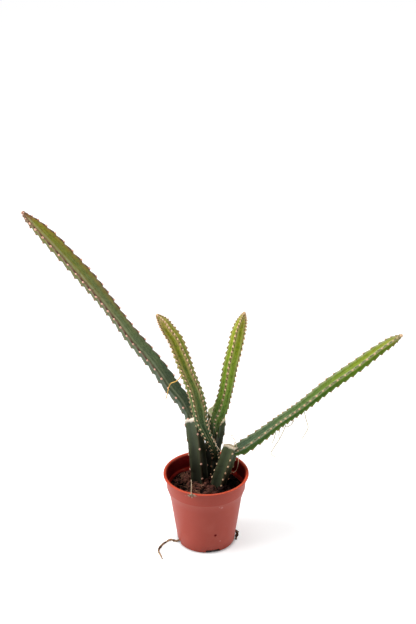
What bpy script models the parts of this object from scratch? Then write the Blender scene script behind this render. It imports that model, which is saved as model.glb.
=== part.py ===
"""A potted night-blooming cereus: three ribbed cuttings with their shoots, in soil, in a nursery pot.

The origin is on the pot's axis, on the surface that the pot stands on. Front is -Y, up is +Z.
Sizes below are in millimetres and become metres where a mesh is made.
"""

import math
from dataclasses import dataclass

import bmesh
import bpy
import numpy as np
from mathutils import Matrix, Vector

MM = 0.001
GAP = 0.3  # left between neighbours that touch

# Pot: a 10.5 cm nursery pot
POT_HEIGHT = 94.0
LIP_RADIUS = 52.5
LIP_DEPTH = 2.0
LIP_ROUNDING = 0.5
MOUTH_RADIUS = 49.9
WALL = 1.2
COLLAR_TOP_RADIUS = 49.4
COLLAR_BOTTOM_RADIUS = 48.4
COLLAR_BOTTOM_HEIGHT = 75.0
COLLAR_ROUNDING = 0.6
SHOULDER_RADIUS = 44.3
SHOULDER_HEIGHT = 62.5
BASE_RADIUS = 35.5
FLOOR_THICKNESS = 1.5
FOOT_WIDTH = 4.6  # ring that stands on the surface, measured in from the wall
HUB_RADIUS = 10.0  # flat middle that stands on the surface
RECESS_HEIGHT = 1.2  # between the foot and the hub
RECESS_SLOPE = 1.5
FLOOR_TOP = FLOOR_THICKNESS + RECESS_HEIGHT
CORNER_ROUNDING = 0.5
POT_SEGMENTS = 56

# Drain notches in the foot, and the moulded dimple above the front one
NOTCH_COUNT = 4
NOTCH_WIDTH = 17.7
NOTCH_HEIGHT = 3.4
NOTCH_ROUNDING = 1.6
NOTCH_INNER_RADIUS = 28.0
NOTCH_OUTER_RADIUS = BASE_RADIUS + 4.0
NOTCH_BELOW = 2.0  # the cutter reaches this far under the foot
FIRST_NOTCH_TURN = 14.0  # degrees from the front towards the right
DIMPLE_TURN = 17.0
DIMPLE_HEIGHT = 27.0
DIMPLE_RADIUS = 1.5
DIMPLE_DEPTH = 0.5
DIMPLE_FLARE = 0.5
DIMPLE_CUTTER_LENGTH = 6.0

# Soil
SOIL_LEVEL = 71.5
MOUND_HEIGHT = 4.0
MOUND_CENTRE = (-2.0, 1.0)
MOUND_SPREAD = 15.0
LUMP_HEIGHT = 0.9
SOIL_RINGS = 7
SOIL_SEGMENTS = 36
SOIL_SIDE_LEVELS = (66.0, 62.5, 32.0)

# Ribbed stems
TOWARDS_FRONT = Vector((0.0, -0.917, 0.399))  # a stem's turn is counted from this side
COLUMNS_PER_RIB = 3
TIP_ZONE = 40.0  # areoles crowd together over this length at a growing tip
TIP_SPACING = 0.25  # their spacing at the very tip, as a share of the full one
TOOTH = 0.6  # height of the areole's cushion on its rib
TOOTH_STEM_RADIUS = 5.0  # stems thinner than this have smaller cushions
BARE_RING_STEP = 8.0  # on the bare foot of a stem, below its first areole
FRAME_STEP = 0.5  # the direction along a stem is measured over this length to each side
HOLE_MARGIN = GAP + 0.1  # round the cuttings, in the soil
HOLE_OVERRUN = 6.0  # the hole cutters rise this far above the first areole


@dataclass(frozen=True)
class Stem:
    """A ribbed stem along a route of (x, y, z, rib radius), from its lower end to its tip or cut."""

    route: tuple
    ribs: int
    turn: float  # degrees from the front side to the first rib
    spacing: float  # between the areoles of one rib
    rings_per_areole: int
    hollow: float  # how far the faces between ribs sink in, as a share of their distance from the axis
    dip: float  # how far a rib's edge sinks between two areoles, as a share of its radius
    first_areole: float  # height along the stem where the areoles start
    pointed: bool = True


LEFT_CUTTING = Stem(
    route=(
        (-6.0, 14.0, 45.0, 8.8),
        (-7.3, 14.0, 74.0, 10.4),
        (-10.7, 14.0, 120.4, 10.7),
        (-15.1, 14.0, 159.0, 10.7),
        (-16.0, 14.0, 166.0, 10.7),
    ),
    ribs=4,
    turn=18.0,
    spacing=17.5,
    rings_per_areole=4,
    hollow=0.08,
    dip=0.06,
    first_areole=34.0,
    pointed=False,
)
LEFT_CUT = ((-15.4, 14.0, 161.5), (-0.40, 0.28, 0.87))

RIGHT_CUTTING = Stem(
    route=(
        (13.0, 3.0, 45.0, 8.8),
        (16.0, 5.0, 76.0, 10.4),
        (24.3, 5.0, 103.9, 10.7),
        (31.1, 5.0, 127.2, 10.7),
        (33.5, 5.0, 135.0, 10.7),
    ),
    ribs=4,
    turn=18.0,
    spacing=9.6,
    rings_per_areole=4,
    hollow=0.10,
    dip=0.06,
    first_areole=33.0,
    pointed=False,
)
RIGHT_CUT = ((31.3, 5.0, 128.0), (0.28, 0.34, 0.90))

BACK_CUTTING = Stem(
    route=(
        (3.0, 29.0, 45.0, 8.8),
        (4.9, 31.0, 75.0, 10.4),
        (8.3, 31.0, 111.3, 10.6),
        (12.3, 31.0, 134.1, 11.0),
        (13.2, 31.0, 158.0, 11.4),
        (13.6, 31.0, 180.0, 11.4),
    ),
    ribs=4,
    turn=5.0,
    spacing=12.0,
    rings_per_areole=4,
    hollow=0.10,
    dip=0.05,
    first_areole=33.0,
    pointed=False,
)
BACK_CUT = ((13.0, 31.0, 158.0), (0.414, -0.658, 0.627))

LONG_LEFT_SHOOT = Stem(
    route=(
        (-19.0, 16.0, 149.6, 5.0),
        (-19.9, 20.0, 162.7, 7.8),
        (-26.5, 23.0, 177.6, 9.8),
        (-40.5, 24.0, 198.5, 11.1),
        (-59.6, 24.0, 228.8, 10.8),
        (-87.4, 24.0, 266.0, 10.7),
        (-100.4, 24.0, 284.9, 9.8),
        (-119.5, 25.0, 312.7, 10.6),
        (-139.2, 25.0, 339.6, 11.8),
        (-159.5, 25.0, 365.0, 11.0),
        (-180.1, 25.0, 389.6, 10.3),
        (-194.5, 25.0, 405.2, 7.6),
        (-201.9, 25.0, 412.3, 5.2),
        (-207.4, 25.0, 420.0, 1.5),
    ),
    ribs=4,
    turn=-25.0,
    spacing=13.4,
    rings_per_areole=4,
    hollow=0.08,
    dip=0.12,
    first_areole=6.0,
)

LONG_RIGHT_SHOOT = Stem(
    route=(
        (33.0, 6.0, 118.9, 5.5),
        (41.3, 9.0, 121.8, 8.8),
        (60.0, 9.0, 135.4, 9.0),
        (86.5, 9.0, 157.7, 8.0),
        (112.8, 8.0, 179.2, 7.9),
        (145.8, 7.0, 210.1, 8.6),
        (179.7, 6.0, 237.9, 8.4),
        (203.9, 5.0, 258.9, 7.1),
        (220.9, 4.0, 272.0, 5.0),
        (229.1, 4.0, 277.5, 1.4),
    ),
    ribs=5,
    turn=0.0,
    spacing=10.0,
    rings_per_areole=2,
    hollow=0.16,
    dip=0.10,
    first_areole=8.0,
)

UPRIGHT_RIGHT_SHOOT = Stem(
    route=(
        (12.3, 27.0, 127.9, 4.8),
        (12.0, 20.0, 141.7, 6.0),
        (13.7, 15.5, 156.8, 7.6),
        (17.7, 13.5, 171.6, 9.2),
        (23.3, 14.0, 195.9, 9.1),
        (29.8, 16.0, 231.7, 9.7),
        (35.2, 17.5, 254.6, 9.8),
        (39.7, 19.0, 277.7, 8.7),
        (42.8, 20.0, 288.7, 6.4),
        (45.2, 21.0, 299.1, 1.6),
    ),
    ribs=5,
    turn=-9.0,
    spacing=7.0,
    rings_per_areole=2,
    hollow=0.16,
    dip=0.09,
    first_areole=10.0,
)

UPRIGHT_LEFT_SHOOT = Stem(
    route=(
        (11.1, 27.0, 97.8, 4.4),
        (10.8, 19.0, 111.2, 5.0),
        (6.3, 11.0, 128.6, 5.5),
        (0.0, 5.0, 146.1, 6.4),
        (-5.1, 1.0, 163.5, 8.5),
        (-8.1, -2.0, 184.2, 10.1),
        (-12.6, -3.0, 205.4, 9.7),
        (-20.9, -3.0, 229.5, 9.3),
        (-28.7, -3.0, 253.4, 9.9),
        (-37.4, -2.0, 276.2, 9.4),
        (-43.9, -2.0, 286.6, 8.5),
        (-50.2, -2.0, 297.3, 6.7),
        (-56.7, -2.0, 306.1, 1.8),
    ),
    ribs=5,
    turn=-31.0,
    spacing=7.0,
    rings_per_areole=2,
    hollow=0.16,
    dip=0.09,
    first_areole=10.0,
)

# Roots that came out of the drain notches: routes of (x, y, z, radius) on the surface
LEFT_DRAIN_ROOT = (
    (-32.6, -8.6, 1.6, 0.8),
    (-37.0, -13.2, 1.5, 1.1),
    (-44.0, -13.2, 1.7, 1.2),
    (-51.0, -17.4, 1.4, 1.0),
    (-56.6, -25.0, 1.4, 1.1),
    (-58.2, -34.7, 1.3, 0.9),
    (-55.0, -43.0, 1.2, 0.8),
    (-53.2, -49.1, 1.1, 0.5),
)
RIGHT_DRAIN_ROOT = (
    (32.6, 7.2, 1.7, 0.9),
    (37.0, 8.6, 2.0, 1.3),
    (38.8, 5.2, 3.4, 1.4),
    (38.9, 0.8, 4.4, 1.2),
    (38.4, -3.8, 3.2, 1.0),
    (37.6, -8.2, 1.3, 0.6),
)
ROOT_SIDES = 6
ROOT_STEP = 3.5


def clear_scene():
    for obj in list(bpy.data.objects):
        bpy.data.objects.remove(obj, do_unlink=True)


def make_material(name, colour, roughness):
    material = bpy.data.materials.new(name)
    material.use_nodes = True
    shader = material.node_tree.nodes["Principled BSDF"]
    shader.inputs["Base Color"].default_value = (*colour, 1.0)
    shader.inputs["Roughness"].default_value = roughness
    shader.inputs["Metallic"].default_value = 0.0
    return material


def add_object(name, mesh_builder, material=None, smooth_angle=None):
    """Turns a bmesh in millimetres into an object in metres."""
    bmesh.ops.scale(mesh_builder, vec=(MM, MM, MM), verts=mesh_builder.verts)
    bmesh.ops.recalc_face_normals(mesh_builder, faces=mesh_builder.faces)
    mesh = bpy.data.meshes.new(name)
    mesh_builder.to_mesh(mesh)
    mesh_builder.free()
    if smooth_angle is not None:
        mesh.shade_smooth()
        mesh.set_sharp_from_angle(angle=math.radians(smooth_angle))
    if material is not None:
        mesh.materials.append(material)
    obj = bpy.data.objects.new(name, mesh)
    bpy.context.scene.collection.objects.link(obj)
    return obj


def apply_boolean(obj, others, operation):
    """Joins or cuts obj with the others by one Boolean on a collection, then removes them."""
    group = bpy.data.collections.new(obj.name + " parts")
    bpy.context.scene.collection.children.link(group)
    for other in others:
        bpy.context.scene.collection.objects.unlink(other)
        group.objects.link(other)
    modifier = obj.modifiers.new(operation.lower(), "BOOLEAN")
    modifier.operand_type = "COLLECTION"
    modifier.collection = group
    modifier.operation = operation
    modifier.solver = "EXACT"
    bpy.context.view_layer.objects.active = obj
    bpy.ops.object.modifier_apply(modifier=modifier.name)
    for other in others:
        bpy.data.objects.remove(other, do_unlink=True)
    bpy.data.collections.remove(group)


def front_direction(turn):
    """A level unit vector, turned by degrees from the front towards the right."""
    angle = math.radians(turn)
    return Vector((math.sin(angle), -math.cos(angle), 0.0))


class Route:
    """A smooth curve through points of any number of values, measured along its chords."""

    def __init__(self, points):
        self.points = np.array(points, float)
        chords = np.linalg.norm(np.diff(self.points[:, :3], axis=0), axis=1)
        self.knots = np.concatenate([[0.0], np.cumsum(chords)])
        self.length = float(self.knots[-1])
        slopes = np.diff(self.points, axis=0) / chords[:, None]
        inner = (
            slopes[:-1] * chords[1:, None] + slopes[1:] * chords[:-1, None]
        ) / (chords[:-1] + chords[1:])[:, None]
        self.slopes = np.vstack([slopes[:1], inner, slopes[-1:]])

    def at(self, distance):
        """The values at a distance from the start."""
        index = int(np.searchsorted(self.knots, distance, side="right")) - 1
        index = min(max(index, 0), len(self.knots) - 2)
        span = self.knots[index + 1] - self.knots[index]
        t = (distance - self.knots[index]) / span
        start, end = self.points[index], self.points[index + 1]
        leave, arrive = self.slopes[index] * span, self.slopes[index + 1] * span
        return (
            (2 * t**3 - 3 * t**2 + 1) * start
            + (t**3 - 2 * t**2 + t) * leave
            + (3 * t**2 - 2 * t**3) * end
            + (t**3 - t**2) * arrive
        )

    def frame(self, distance):
        """Centre, radius, and the two unit vectors across the curve, the first towards the front."""
        before = self.at(max(distance - FRAME_STEP, 0.0))
        after = self.at(min(distance + FRAME_STEP, self.length))
        along = Vector(after[:3] - before[:3]).normalized()
        front = (TOWARDS_FRONT - TOWARDS_FRONT.dot(along) * along).normalized()
        values = self.at(distance)
        return Vector(values[:3]), float(values[3]), front, along.cross(front)


def areole_places(stem, length):
    """Distances along a stem of its areole rings, which crowd together at a growing tip."""
    places = [stem.first_areole]
    while True:
        share = 1.0
        if stem.pointed:
            left = min((length - places[-1]) / TIP_ZONE, 1.0)
            share = TIP_SPACING + (1.0 - TIP_SPACING) * max(left, 0.0)
        following = places[-1] + stem.spacing * share
        if following > length - 1.0:
            return places
        places.append(following)


def ring_places(stem, length):
    """(distance, phase) of each ring: the phase counts areole intervals, and is None on the bare foot."""
    places = areole_places(stem, length)
    rings = [(0.0, None)]
    steps = max(1, round(stem.first_areole / BARE_RING_STEP))
    rings += [(stem.first_areole * step / steps, None) for step in range(1, steps)]
    for index, start in enumerate(places):
        end = places[index + 1] if index + 1 < len(places) else length
        for step in range(stem.rings_per_areole):
            share = step / stem.rings_per_areole
            rings.append((start + (end - start) * share, index + share))
    rings.append((length, float(len(places))))
    return rings


def section_radius(stem, from_rib):
    """Radius at an angle from the nearest rib, where the rib's own is 1: flat faces, hollowed a little."""
    half = math.pi / stem.ribs
    flat = math.cos(half) / math.cos(half - from_rib)
    return flat * (1.0 - stem.hollow * math.sin(math.pi * from_rib / (2.0 * half)) ** 2)


def stem_ring(stem, centre, radius, front, side, phase, margin):
    """The points of one ring. A margin makes a plain, slightly larger ring, for the hole in the soil."""
    sector = 2.0 * math.pi / stem.ribs
    points = []
    for rib in range(stem.ribs):
        for column in range(COLUMNS_PER_RIB):
            share = column / COLUMNS_PER_RIB
            from_rib = min(share, 1.0 - share) * sector
            distance = radius * section_radius(stem, from_rib)
            if margin:
                distance += margin
            elif phase is not None:
                areole = phase + 0.5 * (rib % 2)
                wave = 0.5 - 0.5 * math.cos(2.0 * math.pi * areole)
                at_edge = (1.0 - from_rib / (sector / 2.0)) ** 1.5
                distance *= 1.0 - stem.dip * wave * at_edge
                if column == 0 and wave < 0.01:
                    distance += TOOTH * min(1.0, radius / TOOTH_STEM_RADIUS)
            angle = math.radians(stem.turn) + (rib + share) * sector
            points.append(
                centre + distance * (math.cos(angle) * front + math.sin(angle) * side)
            )
    return points


def tube(rings):
    """A closed bmesh through rings of equally many points, with a fan at each end."""
    builder = bmesh.new()
    loops = [[builder.verts.new(point) for point in ring] for ring in rings]
    for lower, upper in zip(loops, loops[1:]):
        for index in range(len(lower)):
            after = (index + 1) % len(lower)
            builder.faces.new((lower[index], lower[after], upper[after], upper[index]))
    for loop in (loops[0], loops[-1]):
        middle = builder.verts.new(sum((vert.co for vert in loop), Vector()) / len(loop))
        for index in range(len(loop)):
            builder.faces.new((loop[index], loop[(index + 1) % len(loop)], middle))
    bmesh.ops.recalc_face_normals(builder, faces=builder.faces)
    return builder


def stem_mesh(stem):
    route = Route(stem.route)
    rings = []
    for distance, phase in ring_places(stem, route.length):
        centre, radius, front, side = route.frame(distance)
        rings.append(stem_ring(stem, centre, radius, front, side, phase, 0.0))
    return tube(rings)


def cut_across(builder, cut):
    """Removes what lies above a plane and closes the stem there."""
    point, normal = cut
    geometry = builder.verts[:] + builder.edges[:] + builder.faces[:]
    bmesh.ops.bisect_plane(
        builder,
        geom=geometry,
        dist=0.001,
        plane_co=point,
        plane_no=Vector(normal).normalized(),
        clear_outer=True,
    )
    open_edges = [edge for edge in builder.edges if edge.is_boundary]
    bmesh.ops.contextual_create(builder, geom=open_edges)


def build_plant(name, cutting, cut, shoots, material):
    """A cutting with its shoots, joined into one body."""
    builder = stem_mesh(cutting)
    cut_across(builder, cut)
    plant = add_object(name, builder, material, smooth_angle=50)
    parts = [
        add_object(f"{name} shoot {number}", stem_mesh(shoot))
        for number, shoot in enumerate(shoots)
    ]
    apply_boolean(plant, parts, "UNION")
    return plant


def build_root(name, points, material):
    route = Route(points)
    count = max(2, round(route.length / ROOT_STEP))
    rings = []
    for index in range(count + 1):
        centre, radius, front, side = route.frame(route.length * index / count)
        angles = [2.0 * math.pi * step / ROOT_SIDES for step in range(ROOT_SIDES)]
        rings.append(
            [centre + radius * (math.cos(a) * front + math.sin(a) * side) for a in angles]
        )
    return add_object(name, tube(rings), material, smooth_angle=60)


def pot_profile():
    """(radius, height) round the pot's wall: from the middle of the foot, up outside, and down inside."""
    foot_inner = BASE_RADIUS - FOOT_WIDTH
    lip_bottom = POT_HEIGHT - LIP_DEPTH
    return [
        (0.0, 0.0),
        (HUB_RADIUS, 0.0),
        (HUB_RADIUS + RECESS_SLOPE, RECESS_HEIGHT),
        (foot_inner - RECESS_SLOPE, RECESS_HEIGHT),
        (foot_inner, 0.0),
        (BASE_RADIUS, 0.0),
        (SHOULDER_RADIUS, SHOULDER_HEIGHT),
        (COLLAR_BOTTOM_RADIUS - COLLAR_ROUNDING, COLLAR_BOTTOM_HEIGHT - COLLAR_ROUNDING),
        (COLLAR_BOTTOM_RADIUS, COLLAR_BOTTOM_HEIGHT + COLLAR_ROUNDING),
        (COLLAR_TOP_RADIUS, lip_bottom - LIP_ROUNDING),
        (LIP_RADIUS - LIP_ROUNDING, lip_bottom),
        (LIP_RADIUS, lip_bottom + LIP_ROUNDING),
        (LIP_RADIUS, POT_HEIGHT - LIP_ROUNDING),
        (LIP_RADIUS - LIP_ROUNDING, POT_HEIGHT),
        (MOUTH_RADIUS, POT_HEIGHT),
        *inner_profile(),
        (HUB_RADIUS, FLOOR_THICKNESS),
        (0.0, FLOOR_THICKNESS),
    ]


def inner_profile():
    """(radius, height) down the inside of the wall, and in over the floor's step."""
    ledge = COLLAR_BOTTOM_RADIUS - WALL
    corner = BASE_RADIUS - WALL
    return [
        (COLLAR_TOP_RADIUS - WALL, POT_HEIGHT - LIP_DEPTH - LIP_ROUNDING),
        (ledge, COLLAR_BOTTOM_HEIGHT + COLLAR_ROUNDING),
        (ledge - COLLAR_ROUNDING, COLLAR_BOTTOM_HEIGHT),
        (SHOULDER_RADIUS - WALL, SHOULDER_HEIGHT),
        (corner + CORNER_ROUNDING, FLOOR_TOP + CORNER_ROUNDING),
        (corner - CORNER_ROUNDING, FLOOR_TOP),
        (HUB_RADIUS + RECESS_SLOPE, FLOOR_TOP),
    ]


def inside_radius(height):
    """Radius of the pot's inner wall at a height."""
    wall = sorted((level, radius) for radius, level in inner_profile()[:6])
    return float(np.interp(height, [level for level, _ in wall], [r for _, r in wall]))


def notch_cutter(number):
    """A block with two rounded upper edges, which cuts one drain notch."""
    builder = bmesh.new()
    bmesh.ops.create_cube(builder, size=1.0)
    depth = NOTCH_OUTER_RADIUS - NOTCH_INNER_RADIUS
    size = (NOTCH_WIDTH, depth, NOTCH_HEIGHT + NOTCH_BELOW)
    bmesh.ops.scale(builder, vec=size, verts=builder.verts)
    upper = [
        edge
        for edge in builder.edges
        if all(vert.co.z > 0.0 for vert in edge.verts)
        and abs(edge.verts[0].co.y - edge.verts[1].co.y) > depth / 2.0
    ]
    bmesh.ops.bevel(
        builder, geom=upper, offset=NOTCH_ROUNDING, segments=3, affect="EDGES", profile=0.5
    )
    turn = FIRST_NOTCH_TURN + 360.0 / NOTCH_COUNT * number
    place = front_direction(turn) * (NOTCH_OUTER_RADIUS + NOTCH_INNER_RADIUS) / 2.0
    place.z = (NOTCH_HEIGHT - NOTCH_BELOW) / 2.0
    bmesh.ops.transform(
        builder,
        matrix=Matrix.Translation(place) @ Matrix.Rotation(math.radians(turn), 4, "Z"),
        verts=builder.verts,
    )
    return add_object(f"notch cutter {number}", builder)


def dimple_cutter():
    """A short round pin, which presses the dimple into the wall."""
    lean = math.atan2(SHOULDER_RADIUS - BASE_RADIUS, SHOULDER_HEIGHT)
    surface = BASE_RADIUS + DIMPLE_HEIGHT * math.tan(lean)
    outwards = front_direction(DIMPLE_TURN)
    axis = (outwards * math.cos(lean) - Vector((0.0, 0.0, math.sin(lean)))).normalized()
    start = outwards * surface + Vector((0.0, 0.0, DIMPLE_HEIGHT)) - axis * DIMPLE_DEPTH
    builder = bmesh.new()
    bmesh.ops.create_cone(
        builder,
        cap_ends=True,
        segments=14,
        radius1=DIMPLE_RADIUS,
        radius2=DIMPLE_RADIUS + DIMPLE_FLARE,
        depth=DIMPLE_CUTTER_LENGTH,
    )
    turn = Vector((0.0, 0.0, 1.0)).rotation_difference(axis).to_matrix().to_4x4()
    place = Matrix.Translation(start + axis * DIMPLE_CUTTER_LENGTH / 2.0)
    bmesh.ops.transform(builder, matrix=place @ turn, verts=builder.verts)
    return add_object("dimple cutter", builder)


def build_pot(material):
    builder = bmesh.new()
    verts = [builder.verts.new((radius, 0.0, height)) for radius, height in pot_profile()]
    edges = [builder.edges.new(pair) for pair in zip(verts, verts[1:])]
    bmesh.ops.spin(
        builder,
        geom=verts + edges,
        axis=(0.0, 0.0, 1.0),
        cent=(0.0, 0.0, 0.0),
        angle=2.0 * math.pi,
        steps=POT_SEGMENTS,
        use_merge=True,
    )
    bmesh.ops.remove_doubles(builder, verts=builder.verts, dist=0.001)
    pot = add_object("pot", builder, material, smooth_angle=32)
    cutters = [notch_cutter(number) for number in range(NOTCH_COUNT)]
    apply_boolean(pot, cutters + [dimple_cutter()], "DIFFERENCE")
    return pot


def soil_height(x, y):
    """Height of the soil: a level bed with a mound in front of the left cutting, and lumps."""
    from_mound = math.hypot(x - MOUND_CENTRE[0], y - MOUND_CENTRE[1]) / MOUND_SPREAD
    mound = MOUND_HEIGHT * math.exp(-(from_mound**2))
    lumps = (
        math.sin(0.31 * x + 0.17 * y)
        + math.sin(0.23 * x - 0.37 * y + 1.3)
        + 0.6 * math.sin(0.55 * x + 0.48 * y + 2.1)
    )
    return SOIL_LEVEL + mound + LUMP_HEIGHT * lumps


def soil_hole_cutter(number, cutting):
    """A plain copy of a cutting's foot, larger by the margin all round."""
    route = Route(cutting.route)
    places = [distance for distance, phase in ring_places(cutting, route.length) if phase is None]
    places += [cutting.first_areole, cutting.first_areole + HOLE_OVERRUN]
    rings = []
    for distance in places:
        centre, radius, front, side = route.frame(distance)
        if distance == 0.0:
            centre.z -= HOLE_MARGIN
        rings.append(stem_ring(cutting, centre, radius, front, side, None, HOLE_MARGIN))
    return add_object(f"hole cutter {number}", tube(rings))


def build_soil(cuttings, material):
    """The fill: its top follows soil_height, and its side and floor follow the pot's inside."""
    rings = []
    for ring in range(1, SOIL_RINGS + 1):
        points = []
        for segment in range(SOIL_SEGMENTS):
            direction = front_direction(360.0 * segment / SOIL_SEGMENTS)
            place = direction * (inside_radius(SOIL_LEVEL) - GAP) * ring / SOIL_RINGS
            height = soil_height(place.x, place.y)
            if ring == SOIL_RINGS:
                place = direction * (inside_radius(height) - GAP)
            points.append(Vector((place.x, place.y, height)))
        rings.append(points)
    floor_level = FLOOR_TOP + CORNER_ROUNDING + GAP
    for level in (*SOIL_SIDE_LEVELS, floor_level):
        radius = inside_radius(level) - GAP
        rings.append(
            [
                front_direction(360.0 * segment / SOIL_SEGMENTS) * radius
                + Vector((0.0, 0.0, level))
                for segment in range(SOIL_SEGMENTS)
            ]
        )
    soil = add_object("soil", tube(rings), material, smooth_angle=60)
    holes = [soil_hole_cutter(number, cutting) for number, cutting in enumerate(cuttings)]
    apply_boolean(soil, holes, "DIFFERENCE")
    return soil


def main():
    clear_scene()
    terracotta = make_material("pot plastic", (0.40, 0.085, 0.055), 0.45)
    peat = make_material("peat", (0.035, 0.022, 0.018), 0.95)
    stem_green = make_material("stem", (0.060, 0.115, 0.045), 0.5)
    root_tan = make_material("root", (0.42, 0.30, 0.17), 0.85)
    pieces = [
        build_pot(terracotta),
        build_soil((LEFT_CUTTING, RIGHT_CUTTING, BACK_CUTTING), peat),
        build_plant("left_plant", LEFT_CUTTING, LEFT_CUT, (LONG_LEFT_SHOOT,), stem_green),
        build_plant("right_plant", RIGHT_CUTTING, RIGHT_CUT, (LONG_RIGHT_SHOOT,), stem_green),
        build_plant(
            "back_plant",
            BACK_CUTTING,
            BACK_CUT,
            (UPRIGHT_RIGHT_SHOOT, UPRIGHT_LEFT_SHOOT),
            stem_green,
        ),
        build_root("left_drain_root", LEFT_DRAIN_ROOT, root_tan),
        build_root("right_drain_root", RIGHT_DRAIN_ROOT, root_tan),
    ]
    whole = bpy.data.objects.new("potted_cereus", None)
    bpy.context.scene.collection.objects.link(whole)
    for piece in pieces:
        piece.parent = whole


main()
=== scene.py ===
"""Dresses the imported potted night-blooming cereus: skins, areoles, spines, cut ends, soil, roots and pot."""

import logging
import math
import random
from dataclasses import dataclass
from enum import Enum

import bpy
import numpy as np
from mathutils import Matrix, Vector, noise

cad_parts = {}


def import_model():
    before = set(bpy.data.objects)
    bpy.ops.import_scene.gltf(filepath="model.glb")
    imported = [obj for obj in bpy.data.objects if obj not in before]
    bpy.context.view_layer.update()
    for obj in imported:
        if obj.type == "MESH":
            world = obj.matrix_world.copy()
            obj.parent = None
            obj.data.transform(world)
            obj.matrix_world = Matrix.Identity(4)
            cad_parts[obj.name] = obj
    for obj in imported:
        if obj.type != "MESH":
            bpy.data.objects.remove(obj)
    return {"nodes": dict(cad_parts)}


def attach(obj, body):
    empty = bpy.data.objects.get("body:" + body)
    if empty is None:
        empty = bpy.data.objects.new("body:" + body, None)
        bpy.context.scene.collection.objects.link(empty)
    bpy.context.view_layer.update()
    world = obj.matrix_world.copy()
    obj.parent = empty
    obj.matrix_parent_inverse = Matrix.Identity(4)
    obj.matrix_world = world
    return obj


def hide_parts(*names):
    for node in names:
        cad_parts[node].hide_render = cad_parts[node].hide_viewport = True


LOG = logging.getLogger("potted_cereus")
MM = 0.001
BODY = "root"
Colour = tuple[float, float, float]
Point = tuple[float, float, float]
RoutePoint = tuple[float, float, float, float]


class Slot(Enum):
    """The record's material slots."""

    POT = "pot_plastic"
    PEAT = "peat"
    STEM = "stem"
    ROOT = "root"


class Term:
    """One value of a material, on which Python's operators add Math nodes."""

    def __init__(self, nodes: "Nodes", socket: bpy.types.NodeSocket) -> None:
        """Wraps a socket.

        Args:
            nodes: the material's node builder.
            socket: the output socket that holds the value.
        """
        self.nodes = nodes
        self.socket = socket

    def math(self, operation: str, first: "Term | float", second: "Term | float" = 0.0) -> "Term":
        """Adds one Math node.

        Args:
            operation: the Math node's operation.
            first: its first value.
            second: its second value.

        Returns:
            The result as a new term.
        """
        node = self.nodes.add("ShaderNodeMath", {"operation": operation}, {0: first, 1: second})
        return Term(self.nodes, node.outputs[0])

    def __add__(self, other: "Term | float") -> "Term":
        """Sum."""
        return self.math("ADD", self, other)

    def __radd__(self, other: float) -> "Term":
        """Sum, with the number first."""
        return self.math("ADD", other, self)

    def __sub__(self, other: "Term | float") -> "Term":
        """Difference."""
        return self.math("SUBTRACT", self, other)

    def __rsub__(self, other: float) -> "Term":
        """Difference, with the number first."""
        return self.math("SUBTRACT", other, self)

    def __mul__(self, other: "Term | float") -> "Term":
        """Product."""
        return self.math("MULTIPLY", self, other)

    def __rmul__(self, other: float) -> "Term":
        """Product, with the number first."""
        return self.math("MULTIPLY", other, self)

    def __abs__(self) -> "Term":
        """Absolute value."""
        return self.math("ABSOLUTE", self)

    def fraction(self) -> "Term":
        """What is left above the whole number."""
        return self.math("FRACT", self)

    def larger(self, other: "Term | float") -> "Term":
        """The larger of two values."""
        return self.math("MAXIMUM", self, other)

    def rise(self, low: float, high: float) -> "Term":
        """A smooth step.

        Args:
            low: the value at which the step starts at 0.
            high: the value at which it reaches 1.

        Returns:
            The step as a new term.
        """
        node = self.nodes.add(
            "ShaderNodeMapRange",
            {"interpolation_type": "SMOOTHSTEP", "clamp": True},
            {"Value": self, "From Min": low, "From Max": high},
        )
        return Term(self.nodes, node.outputs["Result"])


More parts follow.
